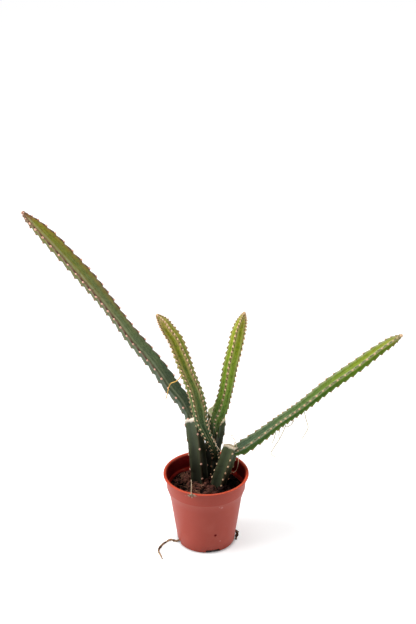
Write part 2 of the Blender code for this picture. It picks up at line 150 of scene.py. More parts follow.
class Nodes:
    """Builds one material's nodes."""

    def __init__(self, name: str) -> None:
        """Makes an empty material with its output.

        Args:
            name: the material's name.
        """
        self.material = bpy.data.materials.new(name)
        self.material.use_nodes = True
        self.tree = self.material.node_tree
        self.tree.nodes.clear()
        self.output = self.tree.nodes.new("ShaderNodeOutputMaterial")

    def add(self, kind: str, settings: dict[str, object], inputs: dict[object, object]) -> bpy.types.Node:
        """Adds a node.

        Args:
            kind: the node's type.
            settings: its properties, set first. A ramp's stops are (place, colour) pairs.
            inputs: values, sockets or terms of its inputs, by name or number.

        Returns:
            The node.
        """
        node = self.tree.nodes.new(kind)
        for key, value in settings.items():
            if key == "stops":
                self._set_stops(node, value)
            else:
                setattr(node, key, value)
        for key, value in inputs.items():
            if isinstance(value, Term):
                value = value.socket
            if isinstance(value, bpy.types.NodeSocket):
                self.tree.links.new(value, node.inputs[key])
            else:
                node.inputs[key].default_value = value
        return node

    @staticmethod
    def _set_stops(node: bpy.types.Node, stops: tuple[tuple[float, Colour], ...]) -> None:
        """Fills a ramp.

        Args:
            node: the ramp node.
            stops: its (place, colour) pairs, from 0 to 1.
        """
        elements = node.color_ramp.elements
        while len(elements) < len(stops):
            elements.new(1.0)
        for element, (place, colour) in zip(elements, stops):
            element.position = place
            element.color = (*colour, 1.0)

    def attribute(self, name: str) -> bpy.types.NodeSocket:
        """The vector that the mesh holds under a name."""
        return self.add("ShaderNodeAttribute", {"attribute_name": name}, {}).outputs["Vector"]

    def place(self) -> bpy.types.NodeSocket:
        """Object coordinates, in metres."""
        return self.add("ShaderNodeTexCoord", {}, {}).outputs["Object"]

    def split(self, vector: bpy.types.NodeSocket) -> tuple[Term, Term, Term]:
        """The three values of a vector.

        Args:
            vector: the socket to split.

        Returns:
            Its x, y and z.
        """
        node = self.add("ShaderNodeSeparateXYZ", {}, {0: vector})
        return tuple(Term(self, socket) for socket in node.outputs)

    def stretch(self, vector: bpy.types.NodeSocket, scale: Point) -> bpy.types.NodeSocket:
        """A vector with each axis scaled.

        Args:
            vector: the socket to scale.
            scale: the factor of each axis.

        Returns:
            The scaled vector.
        """
        return self.add("ShaderNodeMapping", {}, {"Vector": vector, "Scale": scale}).outputs[0]

    def noise(self, vector: bpy.types.NodeSocket, scale: float, detail: float = 2.0) -> Term:
        """Cloudy noise from 0 to 1.

        Args:
            vector: the coordinates.
            scale: clouds per unit of them.
            detail: octaves.

        Returns:
            The noise's value.
        """
        node = self.add(
            "ShaderNodeTexNoise", {}, {"Vector": vector, "Scale": scale, "Detail": detail}
        )
        return Term(self, node.outputs[0])

    def ramp(self, value: Term, stops: tuple[tuple[float, Colour], ...]) -> bpy.types.NodeSocket:
        """A colour from a ramp.

        Args:
            value: the place on the ramp.
            stops: the ramp's (place, colour) pairs.

        Returns:
            The colour.
        """
        return self.add("ShaderNodeValToRGB", {"stops": stops}, {"Fac": value}).outputs["Color"]

    def mix(self, factor: Term, first: object, second: object, blend: str = "MIX") -> bpy.types.NodeSocket:
        """Mixes two colours.

        Args:
            factor: the share of the second.
            first: a colour or a socket.
            second: a colour or a socket.
            blend: how the second is laid on the first.

        Returns:
            The mixed colour.
        """
        colours = [(*c, 1.0) if isinstance(c, tuple) else c for c in (first, second)]
        node = self.add(
            "ShaderNodeMix",
            {"data_type": "RGBA", "blend_type": blend},
            {0: factor, 6: colours[0], 7: colours[1]},
        )
        return node.outputs[2]

    def bump(self, height: Term, depth: float, strength: float = 1.0) -> bpy.types.NodeSocket:
        """A normal that follows a height.

        Args:
            height: the height, from 0 to 1.
            depth: what 1 stands for, in metres.
            strength: share of the effect.

        Returns:
            The normal.
        """
        node = self.add(
            "ShaderNodeBump", {}, {"Height": height, "Distance": depth, "Strength": strength}
        )
        return node.outputs["Normal"]

    def distance(self, vector: bpy.types.NodeSocket, point: Point) -> Term:
        """How far a place is from a point.

        Args:
            vector: the place.
            point: the point, in the same unit.

        Returns:
            The distance.
        """
        node = self.add("ShaderNodeVectorMath", {"operation": "DISTANCE"}, {0: vector, 1: point})
        return Term(self, node.outputs["Value"])

    def surface(
        self, inputs: dict[str, object], other: dict[str, object] | None = None, share: Term | None = None
    ) -> bpy.types.Material:
        """Ends the material in one Principled surface, or in two that are mixed.

        Args:
            inputs: the surface's values and links.
            other: those of a second surface.
            share: how much of the second shows.

        Returns:
            The finished material.
        """
        node = self.add("ShaderNodeBsdfPrincipled", {}, inputs)
        if other is not None:
            second = self.add("ShaderNodeBsdfPrincipled", {}, other)
            node = self.add(
                "ShaderNodeMixShader", {}, {0: share, 1: node.outputs[0], 2: second.outputs[0]}
            )
        self.tree.links.new(node.outputs[0], self.output.inputs["Surface"])
        return self.material


@dataclass(frozen=True)
class SkinFinish:
    """The waxy skin of one stem, from its lower end (0) to its upper end (1)."""

    name: str
    ages: tuple[tuple[float, Colour], ...]
    margin: Colour = (0.26, 0.17, 0.10)
    margin_share: float = 0.75
    margin_width: float = 1.1  # mm to each side of a rib's edge
    # Dark mark on the rib's edge above each areole: partly its own scar, partly painted shadow of the cushion.
    scar_and_shadow: Colour = (0.045, 0.022, 0.010)
    scar_and_shadow_share: float = 0.85
    scar_and_shadow_end: float = 0.34  # how far up to the next areole the dark mark reaches: partly the areole's own scar, partly painted shadow of its cushion
    flank: Colour = (0.30, 0.31, 0.07)
    flank_share: float = 0.25
    # Painted highlight: a light stripe along the ribs.
    painted_highlight: Colour = (0.36, 0.40, 0.20)
    painted_highlight_share: float = 0.25
    painted_highlight_place: float = 2.1  # mm from a rib's edge, negative to the left of it as the stem grows
    painted_highlight_width: float = 0.95
    painted_highlight_even: bool = True
    painted_highlight_until: float = 2.0  # how far up the painted highlight stripes reach
    streak_share: float = 0.18
    fresh_from: float = 0.0  # how far up the brown edges start
    mottle: Colour = (0.45, 0.52, 0.42)
    mottle_share: float = 0.6
    blotch_share: float = 0.0
    # Painted shade: the tint that darkens one side of the stem.
    painted_light: Colour = (0.55, 0.70, 0.15)
    painted_shade_share: float = 0.0
    painted_shade_side: float = 1.0  # which side of the first rib takes the painted shade
    painted_shade_from: float = 0.5  # mm off the first rib, where the painted shade starts
    dry: Colour = (0.80, 0.68, 0.52)
    core: Colour = (0.62, 0.50, 0.34)
    gloss: float = 0.52

    def material(self) -> bpy.types.Material:
        """Builds the material from the mesh's "mark", "cut" and "flow" attributes."""
        nodes = Nodes(self.name)
        off_edge, phase, length_share = nodes.split(nodes.attribute("mark"))
        dryness, valley, inward = nodes.split(nodes.attribute("cut"))
        flow = nodes.attribute("flow")
        streaks = nodes.noise(nodes.stretch(flow, (0.55, 0.55, 0.07)), 1.0, 3.0)
        clouds = nodes.noise(nodes.stretch(flow, (1.0, 1.0, 0.5)), 0.16, 3.0)
        flecks = nodes.noise(nodes.stretch(flow, (1.0, 1.0, 0.45)), 0.75, 4.0)
        pores = nodes.noise(flow, 2.6, 2.0)
        distance = abs(off_edge)
        # Colour along the stem: its own tones, and on the cuttings painted shade that darkens their lower parts.
        colour = nodes.ramp(length_share + (clouds - 0.5) * 0.26, self.ages)
        colour = nodes.mix(flecks.rise(0.46, 0.62) * self.mottle_share, colour, self.mottle, "MULTIPLY")
        if self.blotch_share:
            blotches = nodes.noise(nodes.stretch(flow, (1.0, 1.0, 0.7)), 0.34, 3.0)
            colour = nodes.mix(blotches.rise(0.48, 0.60) * self.blotch_share, colour, (0.42, 0.50, 0.30), "MULTIPLY")
        colour = nodes.mix(streaks.rise(0.50, 0.75) * self.streak_share, colour, (0.30, 0.30, 0.10), "ADD")
        flank = (1.0 - valley.rise(0.30, 0.85)) * flecks.rise(0.30, 0.6) * length_share.rise(0.30, 0.70)
        colour = nodes.mix(flank * self.flank_share, colour, self.flank)
        # Painted highlight: a light stripe beside the ribs, where light catches the faces.
        off_painted_highlight = abs((distance if self.painted_highlight_even else off_edge) - self.painted_highlight_place)
        painted_highlight = (1.0 - off_painted_highlight.rise(0.2, self.painted_highlight_width)) * (
            1.0 - length_share.rise(self.painted_highlight_until - 0.2, self.painted_highlight_until + 0.1)
        )
        colour = nodes.mix(painted_highlight * streaks.rise(0.2, 0.6) * self.painted_highlight_share, colour, self.painted_highlight)
        # Painted shade: one side of the stem darker, the side that the light reaches less.
        if self.painted_shade_share:
            side = (nodes.split(flow)[1] * self.painted_shade_side).rise(self.painted_shade_from, self.painted_shade_from + 2.0)
            colour = nodes.mix(side * self.painted_shade_share, colour, self.painted_light, "MULTIPLY")
        between = phase.fraction()
        ragged = distance + (nodes.noise(flow, 0.55, 3.0) - 0.5) * 1.6
        line = 1.0 - ragged.rise(self.margin_width * 0.5, self.margin_width * 1.4)
        if self.fresh_from:
            line = line * length_share.rise(self.fresh_from, self.fresh_from + 0.30)
        colour = nodes.mix(line * self.margin_share, colour, self.margin)
        # Dark mark above each areole: partly scar, partly painted shadow of the cushion.
        scar_and_shadow = line * (1.0 - between.rise(self.scar_and_shadow_end * 0.5, self.scar_and_shadow_end * 1.5)) * self.scar_and_shadow_share
        colour = nodes.mix(scar_and_shadow, colour, self.scar_and_shadow)
        scale = between.rise(0.86, 0.93) * (1.0 - distance.rise(0.9, 1.9))
        colour = nodes.mix(scale * 0.75, colour, (0.035, 0.014, 0.010))
        colour = nodes.mix(dryness * (0.75 + flecks * 0.25), colour, self.dry)
        core = inward.rise(0.04, 0.14) * (0.55 + flecks * 0.45)
        colour = nodes.mix(core, colour, self.core)
        grain = pores * 0.6 + streaks * 0.7 + flecks * 0.5
        return nodes.surface(
            {
                "Base Color": colour,
                "Roughness": self.gloss + pores * 0.16 + dryness * 0.35,
                "Specular IOR Level": 0.16,
                "Normal": nodes.bump(grain, 0.22 * MM, 0.55),
            }
        )


@dataclass(frozen=True)
class SpeckledFinish:
    """A matt natural finish: two colours in clouds, a third in specks, and a grain, and on the soil painted shade at
    the right and in the hollows.
    """

    name: str
    first: Colour
    second: Colour
    speck: Colour
    speck_share: float = 0.25
    cloud: float = 4.0  # mm across
    grain: float = 0.7  # mm across
    grain_depth: float = 0.3  # mm
    roughness: float = 0.85
    painted_shade_right: float = 0.0  # how much painted shade darkens the right side, where the plants shade it
    painted_shade_level: float = 0.0  # mm, the height below which painted shade darkens the hollows

    def material(self) -> bpy.types.Material:
        """Builds the material on Object coordinates."""
        nodes = Nodes(self.name)
        place = nodes.place()
        clouds = nodes.noise(place, 1.0 / (self.cloud * MM), 3.0)
        grain = nodes.noise(place, 1.0 / (self.grain * MM), 3.0)
        colour = nodes.mix(clouds.rise(0.32, 0.68), self.first, self.second)
        colour = nodes.mix(grain.rise(0.52, 0.66) * self.speck_share, colour, self.speck)
        # Painted shade: the right side darker, in the plants' shadow.
        if self.painted_shade_right:
            shade_towards_right = nodes.split(place)[0].rise(-8.0 * MM, 22.0 * MM)
            colour = nodes.mix(shade_towards_right * self.painted_shade_right, colour, (0.004, 0.002, 0.002))
        # Painted shade: low spots darker, where shade gathers in the hollows.
        if self.painted_shade_level:
            low = 1.0 - nodes.split(place)[2].rise((self.painted_shade_level - 1.6) * MM, (self.painted_shade_level + 1.6) * MM)
            colour = nodes.mix(low * 0.95, colour, (0.004, 0.002, 0.002))
        return nodes.surface(
            {
                "Base Color": colour,
                "Roughness": self.roughness + grain * 0.12,
                "Specular IOR Level": 0.08,
                "Normal": nodes.bump(grain, self.grain_depth * MM, 0.8),
            }
        )


@dataclass(frozen=True)
class MouldedFinish:
    """The pot's thin moulded plastic: outside terracotta, a lip with a painted highlight on its top, and an inside
    painted darker as shade.
    """

    name: str
    outside: Colour = (0.298, 0.029, 0.011)
    bleached: Colour = (0.37, 0.072, 0.046)
    # Painted highlight on the lip's top.
    lip: Colour = (0.56, 0.072, 0.030)
    # Painted shade: the inner wall much darker than the outside of the same plastic.
    inside: Colour = (0.155, 0.0014, 0.0020)
    # Crust specks on the inner wall, and a painted highlight along the inner ledge.
    crust_and_ledge_highlight: Colour = (0.46, 0.030, 0.018)
    scuff: Colour = (0.52, 0.26, 0.25)
    scuffs: tuple[tuple[Point, float], ...] = (  # place and half width, in mm
        ((19.2, -42.6, 70.0), 2.4),
        ((16.2, -43.9, 71.6), 1.3),
        ((17.1, -33.6, 16.2), 1.5),
        ((-9.0, -36.6, 22.0), 1.0),
        ((-28.0, -30.5, 48.0), 1.1),
    )
    dimple: Point = (11.5, -37.7, 27.0)
    ring_spacing: float = 1.7

    def material(self) -> bpy.types.Material:
        """Builds the material on Object coordinates and the mesh's "wall" attribute."""
        nodes = Nodes(self.name)
        place = nodes.place()
        height = nodes.split(place)[2]
        # The wall attribute: the inside, the ledge mark for its painted highlight, and the lip's top.
        inner, painted_light, rim = nodes.split(nodes.attribute("wall"))
        clouds = nodes.noise(place, 38.0, 4.0)
        grain = nodes.noise(place, 1900.0, 2.0)
        scratches = nodes.noise(nodes.stretch(place, (900.0, 900.0, 90.0)), 1.0, 2.0)
        colour = nodes.mix(clouds.rise(0.45, 0.80) * 0.35, self.outside, self.bleached)
        colour = nodes.mix(scratches.rise(0.66, 0.74) * 0.14, colour, self.bleached)
        foot = 1.0 - height.rise(0.0, 16.0 * MM)
        colour = nodes.mix(foot * grain.rise(0.3, 0.7) * 0.25, colour, (0.10, 0.045, 0.030))
        # Painted highlight: the lip's top lighter, where light catches it.
        colour = nodes.mix(rim * 0.7, colour, self.lip)
        for spot, reach in self.scuffs:
            off = nodes.distance(place, tuple(value * MM for value in spot))
            worn = (1.0 - off.rise(reach * 0.3 * MM, reach * MM)) * grain.rise(0.35, 0.60)
            colour = nodes.mix(worn * 0.55, colour, self.scuff)
        off = nodes.distance(place, tuple(value * MM for value in self.dimple))
        rings = off.math("SINE", off * (2.0 * math.pi / (self.ring_spacing * MM))) * (
            1.0 - off.rise(2.0 * MM, 8.0 * MM)
        )
        ripples = nodes.noise(nodes.stretch(place, (150.0, 150.0, 420.0)), 1.0, 2.0) * foot
        dirt = nodes.noise(place, 420.0, 3.0)
        # Inner wall: painted shade, with crust specks and a painted highlight along the ledge.
        dark = nodes.mix((dirt.rise(0.60, 0.68) * 0.25).larger(painted_light), self.inside, self.crust_and_ledge_highlight)
        normal = nodes.bump(grain + clouds * 2.0 + ripples + rings * 0.8, 0.05 * MM, 0.6)
        return nodes.surface(
            {
                "Base Color": colour,
                "Roughness": 0.38 + clouds * 0.14 + scratches * 0.06,
                "Specular IOR Level": 0.34,
                "Normal": normal,
            },
            {
                "Base Color": dark,
                "Roughness": 0.55 + dirt * 0.2,
                "Specular IOR Level": 0.12,
                "Normal": normal,
            },
            inner,
        )


PINK_FELT = SpeckledFinish(
    "pink felt", (0.80, 0.47, 0.36), (0.64, 0.33, 0.24), (0.92, 0.70, 0.56), 0.5, 1.6, 0.25, 0.12
)
TAN_FELT = SpeckledFinish(
    "tan felt", (0.80, 0.56, 0.34), (0.62, 0.38, 0.22), (0.92, 0.76, 0.54), 0.5, 1.6, 0.25, 0.12
)
SPINE = SpeckledFinish(
    "spines", (0.72, 0.60, 0.44), (0.50, 0.34, 0.20), (0.85, 0.78, 0.62), 0.3, 1.0, 0.3, 0.03, 0.5
)
ROOT = SpeckledFinish(
    "dry root", (0.44, 0.29, 0.17), (0.20, 0.115, 0.065), (0.05, 0.028, 0.015), 0.55, 4.0, 0.5, 0.2
)
PEAT = SpeckledFinish(
    "peat", (0.003, 0.002, 0.002), (0.014, 0.006, 0.005), (0.045, 0.018, 0.014), 0.35, 3.0, 0.8, 0.5, 0.86, 0.8, 72.0
)
CRUMB = SpeckledFinish(
    "peat crumbs", (0.008, 0.003, 0.002), (0.170, 0.058, 0.042), (0.38, 0.19, 0.14), 0.3, 6.0, 0.5, 0.2, 0.86, 0.92, 72.2
)
FIBRE = SpeckledFinish(
    "peat fibres", (0.12, 0.040, 0.022), (0.36, 0.17, 0.10), (0.60, 0.41, 0.28), 0.35, 5.0, 0.8, 0.08, 0.85, 0.8, 71.5
)
AERIAL = SpeckledFinish(
    "aerial roots", (0.50, 0.38, 0.15), (0.38, 0.27, 0.10), (0.62, 0.52, 0.28), 0.4, 6.0, 0.6, 0.08, 0.75
)
STRAND = SpeckledFinish(
    "dried strands", (0.78, 0.62, 0.44), (0.58, 0.42, 0.26), (0.90, 0.80, 0.64), 0.4, 5.0, 0.6, 0.08, 0.75
)
ROOT_GOLD = SpeckledFinish(
    "golden root", (0.70, 0.42, 0.10), (0.55, 0.29, 0.07), (0.88, 0.66, 0.30), 0.4, 4.0, 0.6, 0.1, 0.7
)
LUMP = SpeckledFinish(
    "soil lumps", (0.030, 0.017, 0.010), (0.085, 0.052, 0.034), (0.20, 0.13, 0.09), 0.3, 2.0, 0.5, 0.3
)
DRY_LUMP = SpeckledFinish(
    "dry soil lumps", (0.15, 0.10, 0.07), (0.36, 0.27, 0.19), (0.50, 0.42, 0.33), 0.3, 2.0, 0.5, 0.3
)


def deselect_all() -> None:
    """Leaves nothing selected."""
    if bpy.context.mode != "OBJECT":
        bpy.ops.object.mode_set(mode="OBJECT")
    bpy.ops.object.select_all(action="DESELECT")


def take(piece: bpy.types.Object) -> None:
    """Selects one object alone and makes it the active one."""
    deselect_all()
    piece.select_set(True)
    bpy.context.view_layer.objects.active = piece


def apply_modifiers(piece: bpy.types.Object) -> None:
    """Applies all of an object's modifiers, in order."""
    take(piece)
    for modifier in list(piece.modifiers):
        bpy.ops.object.modifier_apply(modifier=modifier.name)


def settle(piece: bpy.types.Object, name: str) -> bpy.types.Object:
    """Moves an object's place into its mesh.

    Args:
        piece: the finished object.
        name: its name.

    Returns:
        The object, at the origin.
    """
    take(piece)
    bpy.ops.object.transform_apply(location=True, rotation=True, scale=True)
    piece.name = name
    piece.data.name = name
    return piece


def mesh_object(name: str, points: np.ndarray, faces: list) -> bpy.types.Object:
    """Makes an object from points in millimetres.

    Args:
        name: the object's name.
        points: one row for each vertex.
        faces: vertex numbers of each face.

    Returns:
        The object, smooth shaded.
    """
    mesh = bpy.data.meshes.new(name)
    mesh.from_pydata((np.asarray(points, float) * MM).tolist(), [], faces)
    mesh.update()
    mesh.shade_smooth()
    piece = bpy.data.objects.new(name, mesh)
    bpy.context.scene.collection.objects.link(piece)
    return piece


def set_vectors(piece: bpy.types.Object, name: str, values: np.ndarray) -> None:
    """Keeps a vector for each vertex.

    Args:
        piece: the object.
        name: the attribute's name.
        values: one row of three numbers for each vertex.
    """
    layer = piece.data.attributes.new(name, "FLOAT_VECTOR", "POINT")
    layer.data.foreach_set("vector", np.asarray(values, np.float32).ravel())


def dress(piece: bpy.types.Object, material: bpy.types.Material, slot: Slot, *nodes: str) -> bpy.types.Object:
    """Gives a finished piece its material and its place in the frame.

    Args:
        piece: the finished object.
        material: its finish.
        slot: the record's slot for it. Not used.
        nodes: the CAD nodes that it stands for.

    Returns:
        The same object.
    """
    piece.data.materials.clear()
    piece.data.materials.append(material)
    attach(piece, BODY)
    if nodes:
        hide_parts(*nodes)
    piece.data.calc_loop_triangles()
    LOG.info("%s: %d triangles", piece.name, len(piece.data.loop_triangles))
    return piece


@dataclass
class Shape:
    """A small modelled thing that is copied many times: its points in millimetres, and its faces."""

    points: np.ndarray
    faces: list[tuple[int, ...]]

    @classmethod
    def from_objects(cls, pieces: list[bpy.types.Object]) -> "Shape":
        """Reads objects' meshes as one shape and removes the objects.

        Args:
            pieces: the modelled objects.

        Returns:
            Their shape.
        """
        points, faces = [], []
        for piece in pieces:
            start = len(points)
            points += [tuple(piece.matrix_world @ vert.co / MM) for vert in piece.data.vertices]
            faces += [tuple(start + index for index in face.vertices) for face in piece.data.polygons]
            bpy.data.meshes.remove(piece.data)
        return cls(np.array(points), faces)

    def copies(self, name: str, places: list[np.ndarray]) -> bpy.types.Object:
        """Joins copies of the shape in one object.

        Args:
            name: the object's name.
            places: a 4 by 4 matrix for each copy, in millimetres.

        Returns:
            The object.
        """
        count = len(self.points)
        points = [self.points @ place[:3, :3].T + place[:3, 3] for place in places]
        faces = [
            tuple(index + count * number for index in face)
            for number in range(len(places))
            for face in self.faces
        ]
        return mesh_object(name, np.vstack(points), faces)


class Route:
    """A smooth curve through points of (x, y, z, radius), measured along its chords."""

    TOWARDS_FRONT = np.array((0.0, -0.917, 0.399))
    STEP = 0.5

    def __init__(self, points: tuple[RoutePoint, ...]) -> None:
        """Works out the curve's slopes.

        Args:
            points: the curve's points, in millimetres.
        """
        self.points = np.array(points, float)
        chords = np.linalg.norm(np.diff(self.points[:, :3], axis=0), axis=1)
        self.knots = np.concatenate([[0.0], np.cumsum(chords)])
        self.length = float(self.knots[-1])
        slopes = np.diff(self.points, axis=0) / chords[:, None]
        inner = (slopes[:-1] * chords[1:, None] + slopes[1:] * chords[:-1, None]) / (
            chords[:-1] + chords[1:]
        )[:, None]
        self.slopes = np.vstack([slopes[:1], inner, slopes[-1:]])

    def at(self, distances: np.ndarray) -> np.ndarray:
        """The curve's values.

        Args:
            distances: lengths from the start.

        Returns:
            A row of x, y, z and radius for each.
        """
        index = np.clip(np.searchsorted(self.knots, distances, "right") - 1, 0, len(self.knots) - 2)
        span = self.knots[index + 1] - self.knots[index]
        t = ((distances - self.knots[index]) / span)[..., None]
        leave = self.slopes[index] * span[..., None]
        arrive = self.slopes[index + 1] * span[..., None]
        return (
            (2 * t**3 - 3 * t**2 + 1) * self.points[index]
            + (t**3 - 2 * t**2 + t) * leave
            + (3 * t**2 - 2 * t**3) * self.points[index + 1]
            + (t**3 - t**2) * arrive
        )

    def frames(self, distances: np.ndarray) -> tuple[np.ndarray, ...]:
        """The curve's values and directions.

        Args:
            distances: lengths from the start.

        Returns:
            Centres, radii, directions along, directions to the front, and directions to the side.
        """
        ahead = self.at(np.minimum(distances + self.STEP, self.length))[..., :3]
        behind = self.at(np.maximum(distances - self.STEP, 0.0))[..., :3]
        along = unit(ahead - behind)
        leaning = (along @ self.TOWARDS_FRONT)[..., None]
        front = unit(self.TOWARDS_FRONT - leaning * along)
        values = self.at(distances)
        return values[..., :3], values[..., 3], along, front, np.cross(along, front)


def unit(vectors: np.ndarray) -> np.ndarray:
    """Vectors at length 1."""
    return vectors / np.linalg.norm(vectors, axis=-1, keepdims=True)


@dataclass
class Stem:
    """A ribbed stem along a route, from its lower end to its tip or cut. Sizes are in millimetres."""

    name: str
    route: tuple[RoutePoint, ...]
    ribs: int
    turn: float  # degrees from the front side to the first rib
    spacing: float  # between the areoles of one rib
    hollow: float  # how far the faces between ribs sink in, as a share of their distance from the axis
    dip: float  # how far a rib's edge sinks between two areoles, as a share of its radius
    first_areole: float
    finish: SkinFinish
    pointed: bool = True
    cut: tuple[Point, Point] | None = None
    twist: tuple[tuple[float, float], ...] = ((0.0, 0.0),)  # (share of the length, degrees)
    columns_per_rib: int = 16
    ring_step: float = 0.75
    edge_rounding: float = 0.085  # radians to each side of a rib's edge
    dry_band: float = 2.9
    rhythm: tuple[tuple[float, float], ...] = ((0.0, 1.0),)  # (share of the length, share of the spacing)

    TIP_ZONE = 40.0
    TIP_SPACING = 0.25
    TOOTH = 0.22
    TOOTH_BELOW = 0.9  # how far the tooth's point is below its areole
    TOOTH_STEM_RADIUS = 5.0
    NOTCH = 0.74  # where along the way to the next areole a rib's edge is lowest
    CREST = 0.97  # where it is highest again
    CUT_RINGS = (  # (share of the section, height over the cut's plane) from the curled rim inwards
        (0.985, 0.35),
        (0.94, 0.25),
        (0.86, -0.30),
        (0.66, -0.75),
        (0.42, -0.55),
        (0.30, 0.05),
        (0.16, 0.12),
    )

    def __post_init__(self) -> None:
        """Works out the curve and where the areoles are."""
        self.curve = Route(self.route)
        self.places = [self.first_areole]
        while True:
            share = 1.0
            if self.pointed:
                left = min((self.curve.length - self.places[-1]) / self.TIP_ZONE, 1.0)
                share = self.TIP_SPACING + (1.0 - self.TIP_SPACING) * max(left, 0.0)
            lengths, factors = zip(*self.rhythm)
            share *= float(np.interp(self.places[-1] / self.curve.length, lengths, factors))
            following = self.places[-1] + self.spacing * share
            if following > self.curve.length - 1.0:
                break
            self.places.append(following)
        self.sector = 2.0 * math.pi / self.ribs

    def phase(self, distances: np.ndarray) -> np.ndarray:
        """How many areole intervals lie below each distance."""
        knots = [*self.places, self.curve.length]
        return np.interp(distances, knots, np.arange(len(knots)))

    def distance_of(self, phase: float) -> float:
        """The distance along the stem at which the phase is reached."""
        knots = [*self.places, self.curve.length]
        return float(np.interp(phase, np.arange(len(knots)), knots))

    def wave(self, phase: np.ndarray) -> np.ndarray:
        """How far a rib's edge has sunk between two areoles.

        Args:
            phase: areole intervals passed on that rib.

        Returns:
            0 at an areole, swelling down to 1 just below the next one.
        """
        part = phase % 1.0
        swelling = (part / self.NOTCH) ** 2.1
        stepping = 0.5 + 0.5 * np.cos(np.pi * (part - self.NOTCH) / (self.CREST - self.NOTCH))
        return np.where(part < self.NOTCH, swelling, np.where(part < self.CREST, stepping, 0.0))

    def radii(self, angles: np.ndarray, distances: np.ndarray, radius: np.ndarray) -> np.ndarray:
        """The skin's distance from the axis.

        Args:
            angles: round the stem, from its first rib, in radians.
            distances: along the stem.
            radius: the ribs' own radius there.

        Returns:
            The distance for each.
        """
        half = self.sector / 2.0
        rib = np.floor(angles / self.sector + 0.5)
        from_rib = np.abs(angles - rib * self.sector)
        soft = np.sqrt(from_rib**2 + self.edge_rounding**2) - self.edge_rounding
        soft *= half / (math.sqrt(half**2 + self.edge_rounding**2) - self.edge_rounding)
        section = math.cos(half) / np.cos(half - soft)
        section *= 1.0 - self.hollow * np.sin(np.pi * from_rib / (2.0 * half)) ** 2
        areole = self.phase(distances) + 0.5 * (rib % 2)
        bare = distances < self.first_areole
        at_edge = (1.0 - from_rib / half) ** 0.9
        waved = section * (1.0 - np.where(bare, 0.0, self.dip * self.wave(areole) * at_edge))
        below = areole + self.TOOTH_BELOW / self.spacing
        nearest = np.abs(below - np.round(below)) * self.spacing
        height = self.TOOTH * np.minimum(1.0, radius / self.TOOTH_STEM_RADIUS)
        tooth = height * np.exp(-((nearest / 1.3) ** 2) - (from_rib * radius / 1.2) ** 2)
        return radius * waved + np.where(bare, 0.0, tooth)

    def surface(self, angles: np.ndarray, distances: np.ndarray) -> np.ndarray:
        """Points on the skin.

        Args:
            angles: round the stem, from its first rib, in radians.
            distances: along the stem.

        Returns:
            A row of x, y and z for each.
        """
        centre, radius, _, front, side = self.curve.frames(distances)
        reach = self.radii(angles, distances, radius)[..., None]
        shares, turns = zip(*self.twist)
        twist = np.interp(distances / self.curve.length, shares, turns)
        turned = (angles + np.radians(self.turn + twist))[..., None]
        return centre + reach * (np.cos(turned) * front + np.sin(turned) * side)

    def ends(self, angles: np.ndarray) -> np.ndarray:
        """How far the skin goes at each angle: to the tip, or to the cut's plane.

        Args:
            angles: round the stem.

        Returns:
            The distance along the stem for each.
        """
        if self.cut is None:
            return np.full(len(angles), self.curve.length)
        point, normal = (np.array(row) for row in self.cut)
        steps = np.linspace(0.0, self.curve.length, 600)
        grid = self.surface(np.broadcast_to(angles, (600, len(angles))), np.tile(steps[:, None], len(angles)))
        above = (grid - point) @ unit(normal)
        return np.array([float(np.interp(0.0, above[200:, i], steps[200:])) for i in range(len(angles))])

    def build(self) -> bpy.types.Object:
        """Makes the skin: a fine grid of rings, closed at both ends, with its marks for the finish."""
        columns = self.ribs * self.columns_per_rib
        share = np.arange(self.columns_per_rib) / self.columns_per_rib
        bunched = share + 0.06 * np.sin(4.0 * math.pi * share) * -1.0
        angles = ((np.arange(self.ribs)[:, None] + bunched).ravel()) * self.sector
        ends = self.ends(angles)
        rings = int(self.curve.length / self.ring_step)
        distances = np.linspace(0.0, 1.0, rings + 1)[:, None] * ends[None, :]
        spread = np.broadcast_to(angles, distances.shape)
        grid = self.surface(spread, distances)
        rib = np.floor(spread / self.sector + 0.5)
        radius = self.curve.at(distances)[..., 3]
        off_edge = (spread - rib * self.sector) * radius
        phase = self.phase(distances) + 0.5 * (rib % 2)
        length_share = distances / self.curve.length
        dryness = np.zeros_like(length_share)
        if self.cut is not None:
            ragged = self.dry_band * (1.0 + 0.16 * np.sin(spread * 7.0) + 0.12 * np.sin(spread * 17.0 + 1.0))
            dryness = np.clip(1.0 - (ends[None, :] - distances) / ragged, 0.0, 1.0) ** 0.4
        marks = np.stack([off_edge, phase, length_share], -1)
        flow = np.stack([np.cos(spread) * radius, np.sin(spread) * radius, distances], -1)
        valley = np.abs(spread - rib * self.sector) / (self.sector / 2.0)
        cuts = np.stack([dryness, valley, np.zeros_like(length_share)], -1)
        if self.cut is not None:
            grid, marks, flow, cuts = self.cut_face(grid, marks, flow, cuts, angles)
        points, faces = self.close(grid, columns)
        piece = mesh_object(self.name, points, faces)
        for name, values in (("mark", marks), ("flow", flow), ("cut", cuts)):
            rows = values.reshape(-1, 3)
            set_vectors(piece, name, np.vstack([rows, values[0].mean(0), values[-1].mean(0)]))
        return piece

